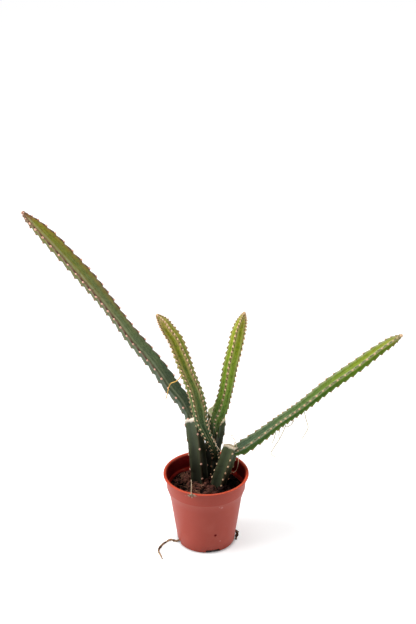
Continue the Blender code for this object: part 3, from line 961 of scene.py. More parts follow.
    def cut_face(
        self, grid: np.ndarray, marks: np.ndarray, flow: np.ndarray, cuts: np.ndarray, angles: np.ndarray
    ) -> tuple[np.ndarray, ...]:
        """Adds the healed cut: a curled rim, a sunken ring and a core that stands out.

        Args:
            grid: the skin's rings.
            marks: the finish's marks for them.
            flow: the same for the pattern's place.
            cuts: the same for dryness, valley and how far in from the rim.
            angles: round the stem, one for each column.

        Returns:
            The four with the cut's rings added.
        """
        edge = grid[-1]
        middle = edge.mean(0)
        normal = unit(np.array(self.cut[1]))
        for share, lift in self.CUT_RINGS:
            crumple = 0.22 * np.sin(angles * 5.0 + 7.0 * share) + 0.14 * np.sin(angles * 11.0 + 3.0 * share)
            ring = middle + (edge - middle) * share + normal * (lift + crumple * share)[:, None]
            grid = np.concatenate([grid, ring[None]])
            marks = np.concatenate([marks, marks[-1:]])
            flow = np.concatenate([flow, flow[-1:] * (share, share, 1.0)])
            inner = np.stack([np.ones_like(angles), cuts[-1, :, 1], np.full_like(angles, 1.0 - share)], -1)
            cuts = np.concatenate([cuts, inner[None]])
        return grid, marks, flow, cuts

    @staticmethod
    def close(grid: np.ndarray, columns: int) -> tuple[np.ndarray, list[tuple[int, ...]]]:
        """Faces for a grid of rings, with a fan at each end.

        Args:
            grid: rings by columns by 3.
            columns: points in a ring.

        Returns:
            All points, with the two middles last, and the faces.
        """
        rings = grid.shape[0]
        count = rings * columns
        faces = []
        for ring in range(rings - 1):
            for column in range(columns):
                after = (column + 1) % columns
                low, high = ring * columns, (ring + 1) * columns
                faces.append((low + column, low + after, high + after, high + column))
        for column in range(columns):
            after = (column + 1) % columns
            faces.append((after, column, count))
            faces.append((count - columns + column, count - columns + after, count + 1))
        middles = np.stack([grid[0].mean(0), grid[-1].mean(0)])
        return np.vstack([grid.reshape(-1, 3), middles]), faces

    def seats(self) -> list[tuple[np.ndarray, float]]:
        """Where the areoles sit.

        Returns:
            A matrix for each, z outwards and y along the stem, and how far along the stem it is.
        """
        found = []
        for rib in range(self.ribs):
            for number in range(len(self.places) + 1):
                phase = number - 0.5 * (rib % 2)
                if phase < 0.0:
                    continue
                distance = self.distance_of(phase)
                if distance > self.curve.length - 0.4:
                    continue
                angle = rib * self.sector
                if self.cut is not None and distance > self.ends(np.array([angle]))[0] - 2.5:
                    continue
                here = np.array([angle, angle, angle])
                point, ahead, behind = self.surface(here, distance + np.array([0.0, 1.0, -1.0]))
                along = unit(ahead - behind)
                outward = unit(point - self.curve.at(np.array([distance]))[0, :3])
                outward = unit(outward - (outward @ along) * along)
                place = np.eye(4)
                place[:3, 0] = np.cross(along, outward)
                place[:3, 1] = along
                place[:3, 2] = outward
                place[:3, 3] = point
                found.append((place, distance))
        return found


LEFT_CUTTING = Stem(
    "left_cutting",
    route=(
        (-6.3, 14.0, 45.0, 9.2),
        (-7.9, 14.0, 74.0, 11.0),
        (-11.3, 14.0, 120.4, 11.3),
        (-15.7, 14.0, 159.0, 11.3),
        (-16.6, 14.0, 166.0, 11.3),
    ),
    ribs=4,
    turn=18.0,
    spacing=21.0,
    hollow=0.08,
    dip=0.06,
    first_areole=37.2,
    finish=SkinFinish(
        "left cutting skin",
        # Near-black low down: painted shade on the cutting's lower part.
        (
            (0.0, (0.006, 0.007, 0.004)),
            (0.40, (0.016, 0.019, 0.011)),
            (0.65, (0.032, 0.040, 0.023)),
            (1.0, (0.062, 0.084, 0.048)),
        ),
        margin_share=0.12,
        scar_and_shadow_share=0.25,
        flank_share=0.05,
        painted_highlight_share=0.06,
        mottle_share=0.2,
        streak_share=0.03,
        dry=(0.95, 0.84, 0.72),
        core=(0.86, 0.72, 0.58),
    ),
    pointed=False,
    cut=((-15.4, 14.0, 162.2), (-0.25, 0.28, 0.91)),
    dry_band=3.7,
)

RIGHT_CUTTING = Stem(
    "right_cutting",
    route=(
        (13.0, 3.0, 45.0, 8.8),
        (16.0, 5.0, 76.0, 10.4),
        (24.3, 5.0, 103.9, 10.7),
        (31.1, 5.0, 127.2, 10.7),
        (33.5, 5.0, 135.0, 10.7),
    ),
    ribs=4,
    turn=18.0,
    spacing=9.6,
    hollow=0.10,
    dip=0.06,
    first_areole=33.0,
    finish=SkinFinish(
        "right cutting skin",
        # Near-black low down: painted shade on the cutting's lower part.
        (
            (0.0, (0.008, 0.010, 0.005)),
            (0.45, (0.022, 0.029, 0.015)),
            (0.75, (0.036, 0.050, 0.024)),
            (1.0, (0.055, 0.075, 0.035)),
        ),
        margin_share=0.12,
        scar_and_shadow_share=0.25,
        flank_share=0.05,
        painted_highlight_share=0.06,
        mottle_share=0.2,
        streak_share=0.03,
    ),
    pointed=False,
    cut=((31.3, 5.0, 128.0), (0.28, 0.34, 0.90)),
)

BACK_CUTTING = Stem(
    "back_cutting",
    route=(
        (3.0, 29.0, 45.0, 8.8),
        (4.9, 31.0, 75.0, 10.4),
        (8.3, 31.0, 111.3, 10.6),
        (12.3, 31.0, 134.1, 11.0),
        (13.2, 31.0, 158.0, 11.4),
        (13.6, 31.0, 180.0, 11.4),
    ),
    ribs=4,
    turn=5.0,
    spacing=12.0,
    hollow=0.10,
    dip=0.05,
    first_areole=33.0,
    finish=SkinFinish(
        "back cutting skin",
        # Near-black low down: painted shade on the cutting's lower part, deep among the stems.
        (
            (0.0, (0.002, 0.002, 0.001)),
            (0.45, (0.004, 0.006, 0.003)),
            (0.66, (0.016, 0.026, 0.008)),
            (0.82, (0.034, 0.056, 0.016)),
            (1.0, (0.085, 0.115, 0.045)),
        ),
        margin_share=0.12,
        scar_and_shadow_share=0.25,
        flank_share=0.05,
        painted_highlight_share=0.06,
        mottle_share=0.2,
        streak_share=0.03,
        dry=(0.78, 0.70, 0.48),
        core=(0.27, 0.33, 0.14),
    ),
    pointed=False,
    cut=((13.0, 31.0, 158.0), (0.414, -0.658, 0.627)),
)

LONG_LEFT_SHOOT = Stem(
    "long_left_shoot",
    route=(
        (-19.0, 16.0, 149.6, 5.0),
        (-19.9, 20.0, 162.7, 7.8),
        (-26.5, 23.0, 177.6, 9.8),
        (-40.5, 24.0, 198.5, 11.1),
        (-59.6, 24.0, 228.8, 10.8),
        (-87.4, 24.0, 266.5, 10.7),
        (-100.2, 24.0, 285.7, 9.8),
        (-119.2, 25.0, 313.8, 10.6),
        (-138.9, 25.0, 340.8, 11.8),
        (-159.2, 25.0, 366.2, 11.0),
        (-179.8, 25.0, 390.8, 10.3),
        (-194.3, 25.0, 406.5, 7.7),
        (-201.9, 25.0, 414.0, 5.4),
        (-208.2, 25.0, 421.6, 1.9),
    ),
    ribs=4,
    turn=-24.0,
    spacing=13.4,
    hollow=0.08,
    dip=0.155,
    first_areole=10.5,
    finish=SkinFinish(
        "long left shoot skin",
        (
            (0.0, (0.062, 0.090, 0.056)),
            (0.22, (0.068, 0.100, 0.056)),
            (0.42, (0.112, 0.156, 0.068)),
            (0.60, (0.128, 0.162, 0.054)),
            (0.78, (0.152, 0.180, 0.028)),
            (0.93, (0.185, 0.195, 0.018)),
            (1.0, (0.200, 0.090, 0.040)),
        ),
        margin=(0.20, 0.115, 0.095),
        margin_share=0.75,
        margin_width=1.45,
        scar_and_shadow=(0.070, 0.024, 0.018),
        scar_and_shadow_end=0.45,
        flank=(0.30, 0.155, 0.025),
        flank_share=0.48,
        # Painted highlight stripe beside the ridge.
        painted_highlight=(0.30, 0.32, 0.20),
        painted_highlight_share=0.45,
        painted_highlight_place=3.2,
        painted_highlight_width=2.2,
        painted_highlight_even=False,
        fresh_from=0.12,
        # Painted shade on the shoot's lower left face.
        painted_light=(0.62, 0.62, 0.60),
        painted_shade_share=0.9,
        painted_shade_side=-1.0,
    ),
    twist=((0.0, 4.0), (0.3, 1.5), (0.6, -2.5), (1.0, -4.0)),
    rhythm=(
        (0.0, 1.33),
        (0.10, 1.31),
        (0.18, 1.10),
        (0.27, 1.11),
        (0.36, 0.96),
        (0.50, 0.93),
        (0.56, 0.84),
        (0.64, 0.87),
        (0.70, 1.0),
        (0.76, 1.14),
        (0.81, 1.04),
        (0.87, 0.98),
    ),
)

LONG_RIGHT_SHOOT = Stem(
    "long_right_shoot",
    route=(
        (33.0, 6.0, 118.9, 5.5),
        (41.3, 9.0, 121.8, 8.8),
        (60.0, 9.0, 135.4, 9.0),
        (86.5, 9.0, 157.7, 8.0),
        (112.8, 8.0, 179.2, 7.9),
        (145.8, 7.0, 210.1, 8.6),
        (179.7, 6.0, 237.9, 8.4),
        (203.9, 5.0, 258.9, 7.1),
        (220.9, 4.0, 272.0, 5.0),
        (229.1, 4.0, 277.5, 1.4),
    ),
    ribs=5,
    turn=1.0,
    spacing=10.0,
    hollow=0.16,
    dip=0.17,
    first_areole=4.8,
    finish=SkinFinish(
        "long right shoot skin",
        (
            (0.0, (0.095, 0.148, 0.092)),
            (0.25, (0.086, 0.148, 0.060)),
            (0.50, (0.088, 0.165, 0.020)),
            (0.75, (0.165, 0.232, 0.005)),
            (0.93, (0.215, 0.250, 0.014)),
            (1.0, (0.380, 0.270, 0.100)),
        ),
        margin_share=0.45,
        scar_and_shadow_share=0.55,
        scar_and_shadow_end=0.24,
        flank_share=0.15,
        # Painted highlight band beside the ribs' edges.
        painted_highlight=(0.40, 0.47, 0.27),
        painted_highlight_share=0.70,
        painted_highlight_place=0.2,
        painted_highlight_width=3.1,
        painted_highlight_even=False,
        # Painted shade on the shoot's lower face.
        painted_light=(0.60, 0.82, 0.24),
        painted_shade_share=1.0,
        painted_shade_from=2.2,
    ),
    twist=((0.0, 0.0), (0.4, 1.0), (0.7, 4.0), (0.85, 2.0), (1.0, -4.0)),
    rhythm=(
        (0.0, 1.25),
        (0.07, 1.19),
        (0.15, 1.0),
        (0.23, 0.83),
        (0.27, 0.69),
        (0.39, 0.71),
        (0.43, 0.93),
        (0.50, 1.02),
        (0.62, 1.12),
        (0.70, 1.06),
        (0.80, 1.12),
    ),
)

UPRIGHT_RIGHT_SHOOT = Stem(
    "upright_right_shoot",
    route=(
        (12.3, 27.0, 127.9, 4.8),
        (11.2, 23.0, 141.7, 5.4),
        (12.6, 17.8, 156.8, 7.1),
        (17.3, 13.8, 171.6, 9.2),
        (23.3, 14.0, 195.9, 9.1),
        (29.8, 16.0, 231.7, 9.7),
        (35.2, 17.5, 254.6, 9.8),
        (39.7, 19.0, 277.7, 8.7),
        (42.8, 20.0, 288.7, 6.4),
        (45.2, 21.0, 299.1, 1.6),
    ),
    ribs=5,
    turn=-9.0,
    spacing=7.0,
    hollow=0.17,
    dip=0.135,
    first_areole=24.0,
    finish=SkinFinish(
        "upright right shoot skin",
        (
            (0.0, (0.024, 0.050, 0.010)),
            (0.25, (0.096, 0.180, 0.026)),
            (0.50, (0.195, 0.325, 0.024)),
            (0.78, (0.225, 0.305, 0.004)),
            (0.94, (0.300, 0.300, 0.020)),
            (1.0, (0.450, 0.300, 0.120)),
        ),
        margin=(0.36, 0.23, 0.11),
        margin_share=0.42,
        margin_width=1.4,
        scar_and_shadow_share=0.95,
        scar_and_shadow_end=0.34,
        flank=(0.42, 0.42, 0.08),
        flank_share=0.6,
        fresh_from=0.15,
        mottle_share=0.75,
        blotch_share=0.5,
    ),
    twist=((0.0, 0.0), (0.45, 0.0), (0.75, -12.0), (1.0, -14.0)),
)

UPRIGHT_LEFT_SHOOT = Stem(
    "upright_left_shoot",
    route=(
        (11.1, 27.0, 97.8, 4.4),
        (10.8, 19.0, 111.2, 5.0),
        (6.3, 11.0, 128.6, 5.5),
        (0.0, 5.0, 146.1, 6.4),
        (-5.1, 1.0, 163.5, 8.5),
        (-8.1, -2.0, 184.2, 10.1),
        (-12.6, -3.0, 205.4, 9.7),
        (-20.9, -3.0, 229.5, 9.3),
        (-28.7, -3.0, 253.4, 9.9),
        (-37.4, -2.0, 276.2, 9.4),
        (-43.9, -2.0, 286.6, 8.5),
        (-50.2, -2.0, 297.3, 6.7),
        (-56.7, -2.0, 306.1, 1.8),
    ),
    ribs=5,
    turn=-31.0,
    spacing=7.0,
    hollow=0.17,
    dip=0.135,
    first_areole=10.0,
    finish=SkinFinish(
        "upright left shoot skin",
        (
            (0.0, (0.016, 0.030, 0.012)),
            (0.32, (0.040, 0.082, 0.030)),
            (0.55, (0.085, 0.145, 0.026)),
            (0.78, (0.160, 0.200, 0.003)),
            (0.94, (0.270, 0.250, 0.015)),
            (1.0, (0.450, 0.290, 0.120)),
        ),
        margin=(0.36, 0.23, 0.11),
        margin_share=0.42,
        margin_width=1.4,
        scar_and_shadow_share=0.95,
        scar_and_shadow_end=0.34,
        flank=(0.46, 0.33, 0.09),
        flank_share=0.6,
        fresh_from=0.25,
        mottle_share=0.75,
        blotch_share=0.6,
    ),
    twist=((0.0, 0.0), (0.55, 0.0), (0.70, -8.0), (0.84, -19.0), (1.0, -23.0)),
    rhythm=((0.0, 1.35), (0.35, 1.0)),
)


@dataclass
class AreoleSet:
    """The woolly cushions and spines of a plant's stems. Sizes are in millimetres."""

    cushion_radius: float = 1.0
    cushion_length: float = 1.35
    cushion_height: float = 0.5
    hair_length: float = 0.55
    hair_count: int = 12
    spine_length: float = 1.1
    spine_radius: float = 0.08
    spine_count: int = 6
    seed: int = 11

    TUFT_COUNT = 6
    TUFT_SIZE = 1.2

    def cushion(self) -> Shape:
        """Models one woolly cushion: a dome with short hairs standing out of it."""
        generator = random.Random(self.seed)
        deselect_all()
        bpy.ops.mesh.primitive_ico_sphere_add(subdivisions=2, radius=MM)
        dome = bpy.context.object
        dome.scale = (self.cushion_radius, self.cushion_length, self.cushion_height)
        pieces = [dome]
        for _ in range(self.hair_count):
            lean = generator.uniform(0.2, 1.25)
            turn = generator.uniform(0.0, 2.0 * math.pi)
            pieces.append(self.cone(0.085, self.hair_length * generator.uniform(0.7, 1.2), lean, turn, 0.55))
        bpy.context.view_layer.update()
        return Shape.from_objects(pieces)

    def spines(self) -> Shape:
        """Models one areole's spines, spread like a star with one in the middle."""
        generator = random.Random(self.seed + 1)
        pieces = [self.cone(self.spine_radius, self.spine_length, 0.15, 0.4, 0.3)]
        for number in range(self.spine_count):
            turn = 2.0 * math.pi * number / self.spine_count + generator.uniform(-0.2, 0.2)
            length = self.spine_length * generator.uniform(0.7, 1.1)
            pieces.append(self.cone(self.spine_radius * 0.85, length, generator.uniform(0.85, 1.2), turn, 0.25))
        bpy.context.view_layer.update()
        return Shape.from_objects(pieces)

    @staticmethod
    def cone(radius: float, length: float, lean: float, turn: float, start: float) -> bpy.types.Object:
        """Adds one three-sided hair or spine.

        Args:
            radius: at its foot.
            length: from foot to point.
            lean: radians away from upright.
            turn: radians round the upright.
            start: how far out along its own line it starts.

        Returns:
            The cone.
        """
        direction = Vector(
            (math.sin(lean) * math.cos(turn), math.sin(lean) * math.sin(turn), math.cos(lean))
        )
        deselect_all()
        bpy.ops.mesh.primitive_cone_add(
            vertices=3,
            radius1=radius * MM,
            radius2=0.0,
            depth=length * MM,
            location=direction * (start + length / 2.0) * MM,
            rotation=direction.to_track_quat("Z", "Y").to_euler(),
        )
        return bpy.context.object

    def placed(self, stems: tuple[Stem, ...], spiny: bool) -> list[np.ndarray]:
        """Places one copy on every areole.

        Args:
            stems: the stems that carry them.
            spiny: whether the copies are spines, which stay a little larger on thin tips.

        Returns:
            A matrix for each copy.
        """
        generator = random.Random(self.seed + 2)
        places = []
        for stem in stems:
            for place, distance in stem.seats():
                left = stem.curve.length - distance
                size = generator.uniform(0.88, 1.14)
                if stem.pointed:
                    radius = stem.curve.at(np.array([distance]))[0, 3]
                    size *= (0.75 + 0.25 * min(1.0, left / 18.0)) * min(1.0, 0.5 + 0.5 * radius / 8.0)
                if spiny:
                    size = max(size, 0.8)
                spin = Matrix.Rotation(generator.uniform(-0.3, 0.3), 3, "Z")
                copy = place.copy()
                copy[:3, :3] = place[:3, :3] @ np.array(spin) * size
                places.append(copy)
            if stem.pointed:
                places += self.tuft(stem)
        return places

    def tuft(self, stem: Stem) -> list[np.ndarray]:
        """Places the felt that caps a shoot's tip.

        Args:
            stem: the shoot.

        Returns:
            A matrix for each copy: one on the tip and a ring round it.
        """
        centre, _, along, front, side = (row[0] for row in stem.curve.frames(np.array([stem.curve.length])))
        places = []
        for number in range(self.TUFT_COUNT + 1):
            turn = 2.0 * math.pi * number / self.TUFT_COUNT
            aside = math.cos(turn) * front + math.sin(turn) * side
            spread = 0.0 if number == self.TUFT_COUNT else 0.9
            outward = unit(along + aside * spread)
            place = np.eye(4)
            place[:3, 2] = outward
            place[:3, 1] = unit(np.cross(outward, np.cross(front + 0.01 * side, outward)))
            place[:3, 0] = np.cross(place[:3, 1], outward)
            place[:3, :3] *= self.TUFT_SIZE
            place[:3, 3] = centre - along * spread * 1.3 + aside * spread * 0.9
            places.append(place)
        return places


@dataclass
class Plant:
    """A cutting with its shoots, which stands for one CAD node."""

    node: str
    stems: tuple[Stem, ...]
    felt: SpeckledFinish
    areoles: AreoleSet

    def build(self) -> None:
        """Makes the skins, cushions and spines."""
        for stem in self.stems:
            dress(stem.build(), stem.finish.material(), Slot.STEM, self.node)
        cushion, spine = self.areoles.cushion(), self.areoles.spines()
        cushions = cushion.copies(f"{self.node}_areoles", self.areoles.placed(self.stems, False))
        dress(cushions, self.felt.material(), Slot.STEM)
        spines = spine.copies(f"{self.node}_spines", self.areoles.placed(self.stems, True))
        dress(spines, SPINE.material(), Slot.STEM)


@dataclass
class Pot:
    """The thin moulded nursery pot. Sizes are in millimetres."""

    segments: int = 144
    height: float = 94.0
    lip_radius: float = 52.5
    lip_depth: float = 2.0
    lip_rounding: float = 0.5
    mouth_radius: float = 49.9
    wall: float = 1.2
    collar_top_radius: float = 49.4
    collar_bottom_radius: float = 48.4
    collar_bottom_height: float = 75.0
    collar_rounding: float = 0.6
    crust_reach: float = 2.4  # how far up from the ledge the crust goes
    shoulder_radius: float = 44.3
    shoulder_height: float = 62.5
    base_radius: float = 35.5
    floor_thickness: float = 1.5
    foot_width: float = 4.6
    hub_radius: float = 10.0
    recess_height: float = 1.2
    recess_slope: float = 1.5
    notch_count: int = 4
    notch_width: float = 17.7
    notch_height: float = 3.8
    notch_rounding: float = 1.6
    notch_inner_radius: float = 28.0
    first_notch_turn: float = 14.0
    dimple_turn: float = 17.0
    dimple_height: float = 27.0
    dimple_radius: float = 1.7
    dimple_depth: float = 0.95

    def profile(self) -> list[tuple[float, float]]:
        """Radius and height round the wall, from the hub's underside up outside and down inside."""
        foot_inner = self.base_radius - self.foot_width
        lip_bottom = self.height - self.lip_depth
        ledge = self.collar_bottom_radius - self.wall
        floor_top = self.floor_thickness + self.recess_height
        corner = self.base_radius - self.wall
        rounding = self.lip_rounding
        ledge_height = self.collar_bottom_height + self.collar_rounding
        draft = (self.collar_top_radius - self.collar_bottom_radius) / (lip_bottom - rounding - ledge_height)
        return [
            (self.hub_radius, 0.0),
            (self.hub_radius + self.recess_slope, self.recess_height),
            (foot_inner - self.recess_slope, self.recess_height),
            (foot_inner, 0.0),
            (self.base_radius - 0.35, 0.0),
            (self.base_radius + 0.05, 0.45),
            (self.shoulder_radius, self.shoulder_height),
            (self.collar_bottom_radius - self.collar_rounding, self.collar_bottom_height - self.collar_rounding),
            (self.collar_bottom_radius - 0.15, self.collar_bottom_height),
            (self.collar_bottom_radius, ledge_height),
            (self.collar_top_radius, lip_bottom - rounding),
            (self.collar_top_radius + 0.3, lip_bottom - 0.12),
            (self.lip_radius - rounding, lip_bottom),
            (self.lip_radius - 0.15, lip_bottom + 0.15),
            (self.lip_radius, lip_bottom + rounding),
            (self.lip_radius, self.height - rounding),
            (self.lip_radius - 0.15, self.height - 0.15),
            (self.lip_radius - rounding, self.height),
            (self.mouth_radius, self.height),
            (self.mouth_radius - 0.45, self.height - 0.3),
            (self.collar_top_radius - self.wall, lip_bottom - rounding),
            (ledge + self.crust_reach * draft, ledge_height + self.crust_reach),
            (ledge, ledge_height),
            (ledge - self.collar_rounding, self.collar_bottom_height),
            (self.shoulder_radius - self.wall, self.shoulder_height),
            (corner + 0.5, floor_top + 0.5),
            (corner - 0.5, floor_top),
            (self.hub_radius + self.recess_slope, floor_top),
            (self.hub_radius, self.floor_thickness),
        ]

    def build(self) -> None:
        """Draws the wall up ring by ring, closes it, and cuts the notches and the dimple."""
        rings = self.profile()
        deselect_all()
        radius, height = rings[0]
        bpy.ops.mesh.primitive_circle_add(
            vertices=self.segments, radius=radius * MM, location=(0.0, 0.0, height * MM)
        )
        pot = bpy.context.object
        bpy.ops.object.mode_set(mode="EDIT")
        bpy.ops.mesh.select_all(action="SELECT")
        for following, level in rings[1:]:
            bpy.ops.mesh.extrude_region_move(
                TRANSFORM_OT_translate={"value": (0.0, 0.0, (level - height) * MM)}
            )
            share = following / radius
            bpy.ops.transform.resize(
                value=(share, share, 1.0), center_override=(0.0, 0.0, level * MM)
            )
            radius, height = following, level
        bpy.ops.mesh.edge_face_add()
        bpy.ops.mesh.select_all(action="DESELECT")
        bpy.ops.mesh.select_mode(type="EDGE")
        bpy.ops.mesh.select_non_manifold()
        bpy.ops.mesh.edge_face_add()
        bpy.ops.mesh.select_all(action="SELECT")
        bpy.ops.mesh.normals_make_consistent(inside=False)
        bpy.ops.object.mode_set(mode="OBJECT")
        for cutter in [*(self.notch(number) for number in range(self.notch_count)), self.dimple()]:
            modifier = pot.modifiers.new("cut", "BOOLEAN")
            modifier.operation = "DIFFERENCE"
            modifier.solver = "EXACT"
            modifier.object = cutter
            apply_modifiers(pot)
            bpy.data.meshes.remove(cutter.data)
        self.mark_walls(pot)
        take(pot)
        bpy.ops.object.shade_smooth_by_angle(angle=math.radians(28.0))
        dress(settle(pot, "nursery_pot"), MouldedFinish("terracotta plastic").material(), Slot.POT, "pot")

    def mark_walls(self, pot: bpy.types.Object) -> None:
        """Marks the inside of the wall, which is painted darker as shade, the inner ledge, which gets a painted
        highlight, and the lip's top, which gets a painted highlight, for the finish.

        Args:
            pot: the finished mesh, which gets the attribute "wall".
        """
        outline = self.profile()[5:12]
        heights = [level for _, level in outline]
        reaches = [reach for reach, _ in outline]
        marks = []
        for vert in pot.data.vertices:
            x, y, level = (value / MM for value in vert.co)
            outer = np.interp(level, heights, reaches)
            inside = level > 1.4 and math.hypot(x, y) < outer - 0.6 and level < self.height - 0.2
            rim = level > self.height - 0.35
            # The ledge mark, for its painted highlight.
            ledge = math.exp(-(((level - self.collar_bottom_height - 0.6) / 1.2) ** 2))
            marks.append((float(inside), ledge, float(rim)))
        set_vectors(pot, "wall", np.array(marks))

    def notch(self, number: int) -> bpy.types.Object:
        """Models the block that cuts one drain notch, with its upper corners rounded.

        Args:
            number: which notch, counted from the front towards the right.

        Returns:
            The cutter.
        """
        outer = self.base_radius + 4.0
        depth = outer - self.notch_inner_radius
        below = 2.0
        turn = math.radians(self.first_notch_turn + 360.0 / self.notch_count * number)
        middle = (outer + self.notch_inner_radius) / 2.0
        deselect_all()
        bpy.ops.mesh.primitive_cube_add(size=MM)
        block = bpy.context.object
        block.scale = (self.notch_width, depth, self.notch_height + below)
        bpy.ops.object.transform_apply(location=False, rotation=False, scale=True)
        bpy.ops.object.mode_set(mode="EDIT")
        bpy.ops.mesh.select_all(action="DESELECT")
        bpy.ops.mesh.select_mode(type="EDGE")
        bpy.ops.object.mode_set(mode="OBJECT")
        for edge in block.data.edges:
            ends = [block.data.vertices[index].co for index in edge.vertices]
            edge.select = all(end.z > 0.0 for end in ends) and abs(ends[0].y - ends[1].y) > depth / 2 * MM
        bpy.ops.object.mode_set(mode="EDIT")
        bpy.ops.mesh.bevel(offset=self.notch_rounding * MM, segments=6)
        bpy.ops.object.mode_set(mode="OBJECT")
        block.location = (
            math.sin(turn) * middle * MM,
            -math.cos(turn) * middle * MM,
            (self.notch_height - below) / 2.0 * MM,
        )
        block.rotation_euler = (0.0, 0.0, turn)
        return block

    def dimple(self) -> bpy.types.Object:
        """Models the round pin that presses the small moulded dimple."""
        turn = math.radians(self.dimple_turn)
        lean = math.atan2(self.shoulder_radius - self.base_radius, self.shoulder_height)
        outwards = Vector((math.sin(turn), -math.cos(turn), 0.0))
        axis = (outwards * math.cos(lean) - Vector((0.0, 0.0, math.sin(lean)))).normalized()
        surface = self.base_radius + self.dimple_height * math.tan(lean)
        start = outwards * surface + Vector((0.0, 0.0, self.dimple_height)) - axis * self.dimple_depth
        deselect_all()
        bpy.ops.mesh.primitive_cone_add(
            vertices=32,
            radius1=self.dimple_radius * MM,
            radius2=(self.dimple_radius + 0.5) * MM,
            depth=6.0 * MM,
            location=(start + axis * 3.0) * MM,
            rotation=axis.to_track_quat("Z", "Y").to_euler(),
        )
        return bpy.context.object


@dataclass
class Soil:
    """The peat in the pot, with crumbs and fibres. Sizes are in millimetres."""

    level: float = 71.5
    heaps: tuple[tuple[float, float, float, float], ...] = (  # x, y, height and spread
        (-2.0, 1.0, 3.6, 14.0),
        (-29.0, 24.0, 2.6, 11.0),
        (20.0, -4.0, 1.4, 8.0),
        (-30.0, -3.0, -3.8, 12.0),
        (12.0, -24.0, -1.6, 12.0),
        (34.0, 18.0, -1.8, 10.0),
    )
    lump_height: float = 0.9
    radius: float = 46.2
    floor_radius: float = 34.2
    floor_level: float = 3.5
    rings: int = 44
    segments: int = 168
    crumb_count: int = 760
    fibre_count: int = 190
    seed: int = 5

    def height(self, x: float, y: float) -> float:
        """Height of the soil at a place: a level bed with heaps, hollows and lumps, and fine crumbling."""
        heaped = sum(
            height * math.exp(-((math.hypot(x - middle_x, y - middle_y) / spread) ** 2))
            for middle_x, middle_y, height, spread in self.heaps
        )
        lumps = (
            math.sin(0.31 * x + 0.17 * y)
            + math.sin(0.23 * x - 0.37 * y + 1.3)
            + 0.6 * math.sin(0.55 * x + 0.48 * y + 2.1)
        )
        calm = min(1.0, max(0.0, (self.radius - 1.5 - math.hypot(x, y)) / 9.0))
        coarse = noise.noise(Vector((x, y, 3.0)) * 0.22)
        fine = noise.noise(Vector((x, y, 9.0)) * 0.75)
        return (
            self.level
            + heaped
            + self.lump_height * lumps * (0.3 + 0.7 * calm)
            + 2.6 * coarse * calm
            + 0.9 * fine * calm
        )

    def build(self) -> None:
        """Makes the fill, then scatters crumbs and fibres on it."""
        rings = []
        for ring in range(1, self.rings + 1):
            reach = self.radius * ring / self.rings
            rings.append([self.spot(reach, segment) for segment in range(self.segments)])
        for level, reach in ((66.0, 44.0), (62.5, 42.6), (32.0, 38.3), (self.floor_level, self.floor_radius)):
            rings.append([self.spot(reach, segment, level) for segment in range(self.segments)])
        points, faces = Stem.close(np.array(rings), self.segments)
        fill = mesh_object("peat_fill", points, faces)
        dress(fill, PEAT.material(), Slot.PEAT, "soil")
        dress(self.crumbs(), CRUMB.material(), Slot.PEAT)
        dress(self.fibres(), FIBRE.material(), Slot.PEAT)

    def spot(self, reach: float, segment: int, level: float | None = None) -> Point:
        """A point of the fill.

        Args:
            reach: distance from the pot's axis.
            segment: which of the steps round it.
            level: its height, or None for the soil's own.

        Returns:
            The point.
        """
        angle = 2.0 * math.pi * segment / self.segments
        x, y = math.cos(angle) * reach, math.sin(angle) * reach
        return x, y, self.height(x, y) if level is None else level

    def crumbs(self) -> bpy.types.Object:
        """Scatters uneven crumbs, more of them small."""
        generator = random.Random(self.seed)
        shape = crumb_shape(generator)
        places = []
        for _ in range(self.crumb_count):
            size = 0.55 + 3.1 * generator.random() ** 2.2
            reach = (self.radius - 1.6 - size) * math.sqrt(generator.random())
            angle = generator.uniform(0.0, 2.0 * math.pi)
            x, y = math.cos(angle) * reach, math.sin(angle) * reach
            places.append(crumb_place((x, y, self.height(x, y) + size * 0.2), size, generator))
        return flat_shaded(shape.copies("peat_crumbs", places))

    def fibres(self) -> bpy.types.Object:
        """Scatters thin curved fibres, most of them at the left."""
        generator = random.Random(self.seed + 1)
        strands = []
        for number in range(self.fibre_count):
            left = number % 2 == 0
            x = generator.gauss(-28.0 if left else 0.0, 9.0 if left else 24.0)
            y = generator.gauss(8.0 if left else 0.0, 14.0 if left else 22.0)
            if math.hypot(x, y) > self.radius - 6.0:
                continue
            heading = generator.uniform(0.0, 2.0 * math.pi)
            length = generator.uniform(6.0, 22.0)
            bend = generator.uniform(-0.20, 0.20)
            points = []
            rise = generator.choice((0.0, 0.1, 0.3, 0.6)) if left else generator.choice((0.0, 0.0, 0.1))
            for step in range(7):
                if math.hypot(x, y) > self.radius - 2.0:
                    break
                lift = 0.6 + rise * step * length / 14.0
                points.append((x, y, self.height(x, y) + lift, generator.uniform(0.15, 0.30)))
                x += math.cos(heading) * length / 6.0
                y += math.sin(heading) * length / 6.0
                heading += bend * length / 6.0 + generator.uniform(-0.25, 0.25)
            if len(points) > 2:
                strands.append(tuple(points))
        return strand_object("peat_fibres", strands, sides=4, step=1.4)


def crumb_shape(generator: random.Random) -> Shape:
    """Models one uneven crumb of soil."""
    deselect_all()
    bpy.ops.mesh.primitive_ico_sphere_add(subdivisions=1, radius=MM)
    crumb = bpy.context.object
    for vert in crumb.data.vertices:
        vert.co *= generator.uniform(0.72, 1.25)
    return Shape.from_objects([crumb])


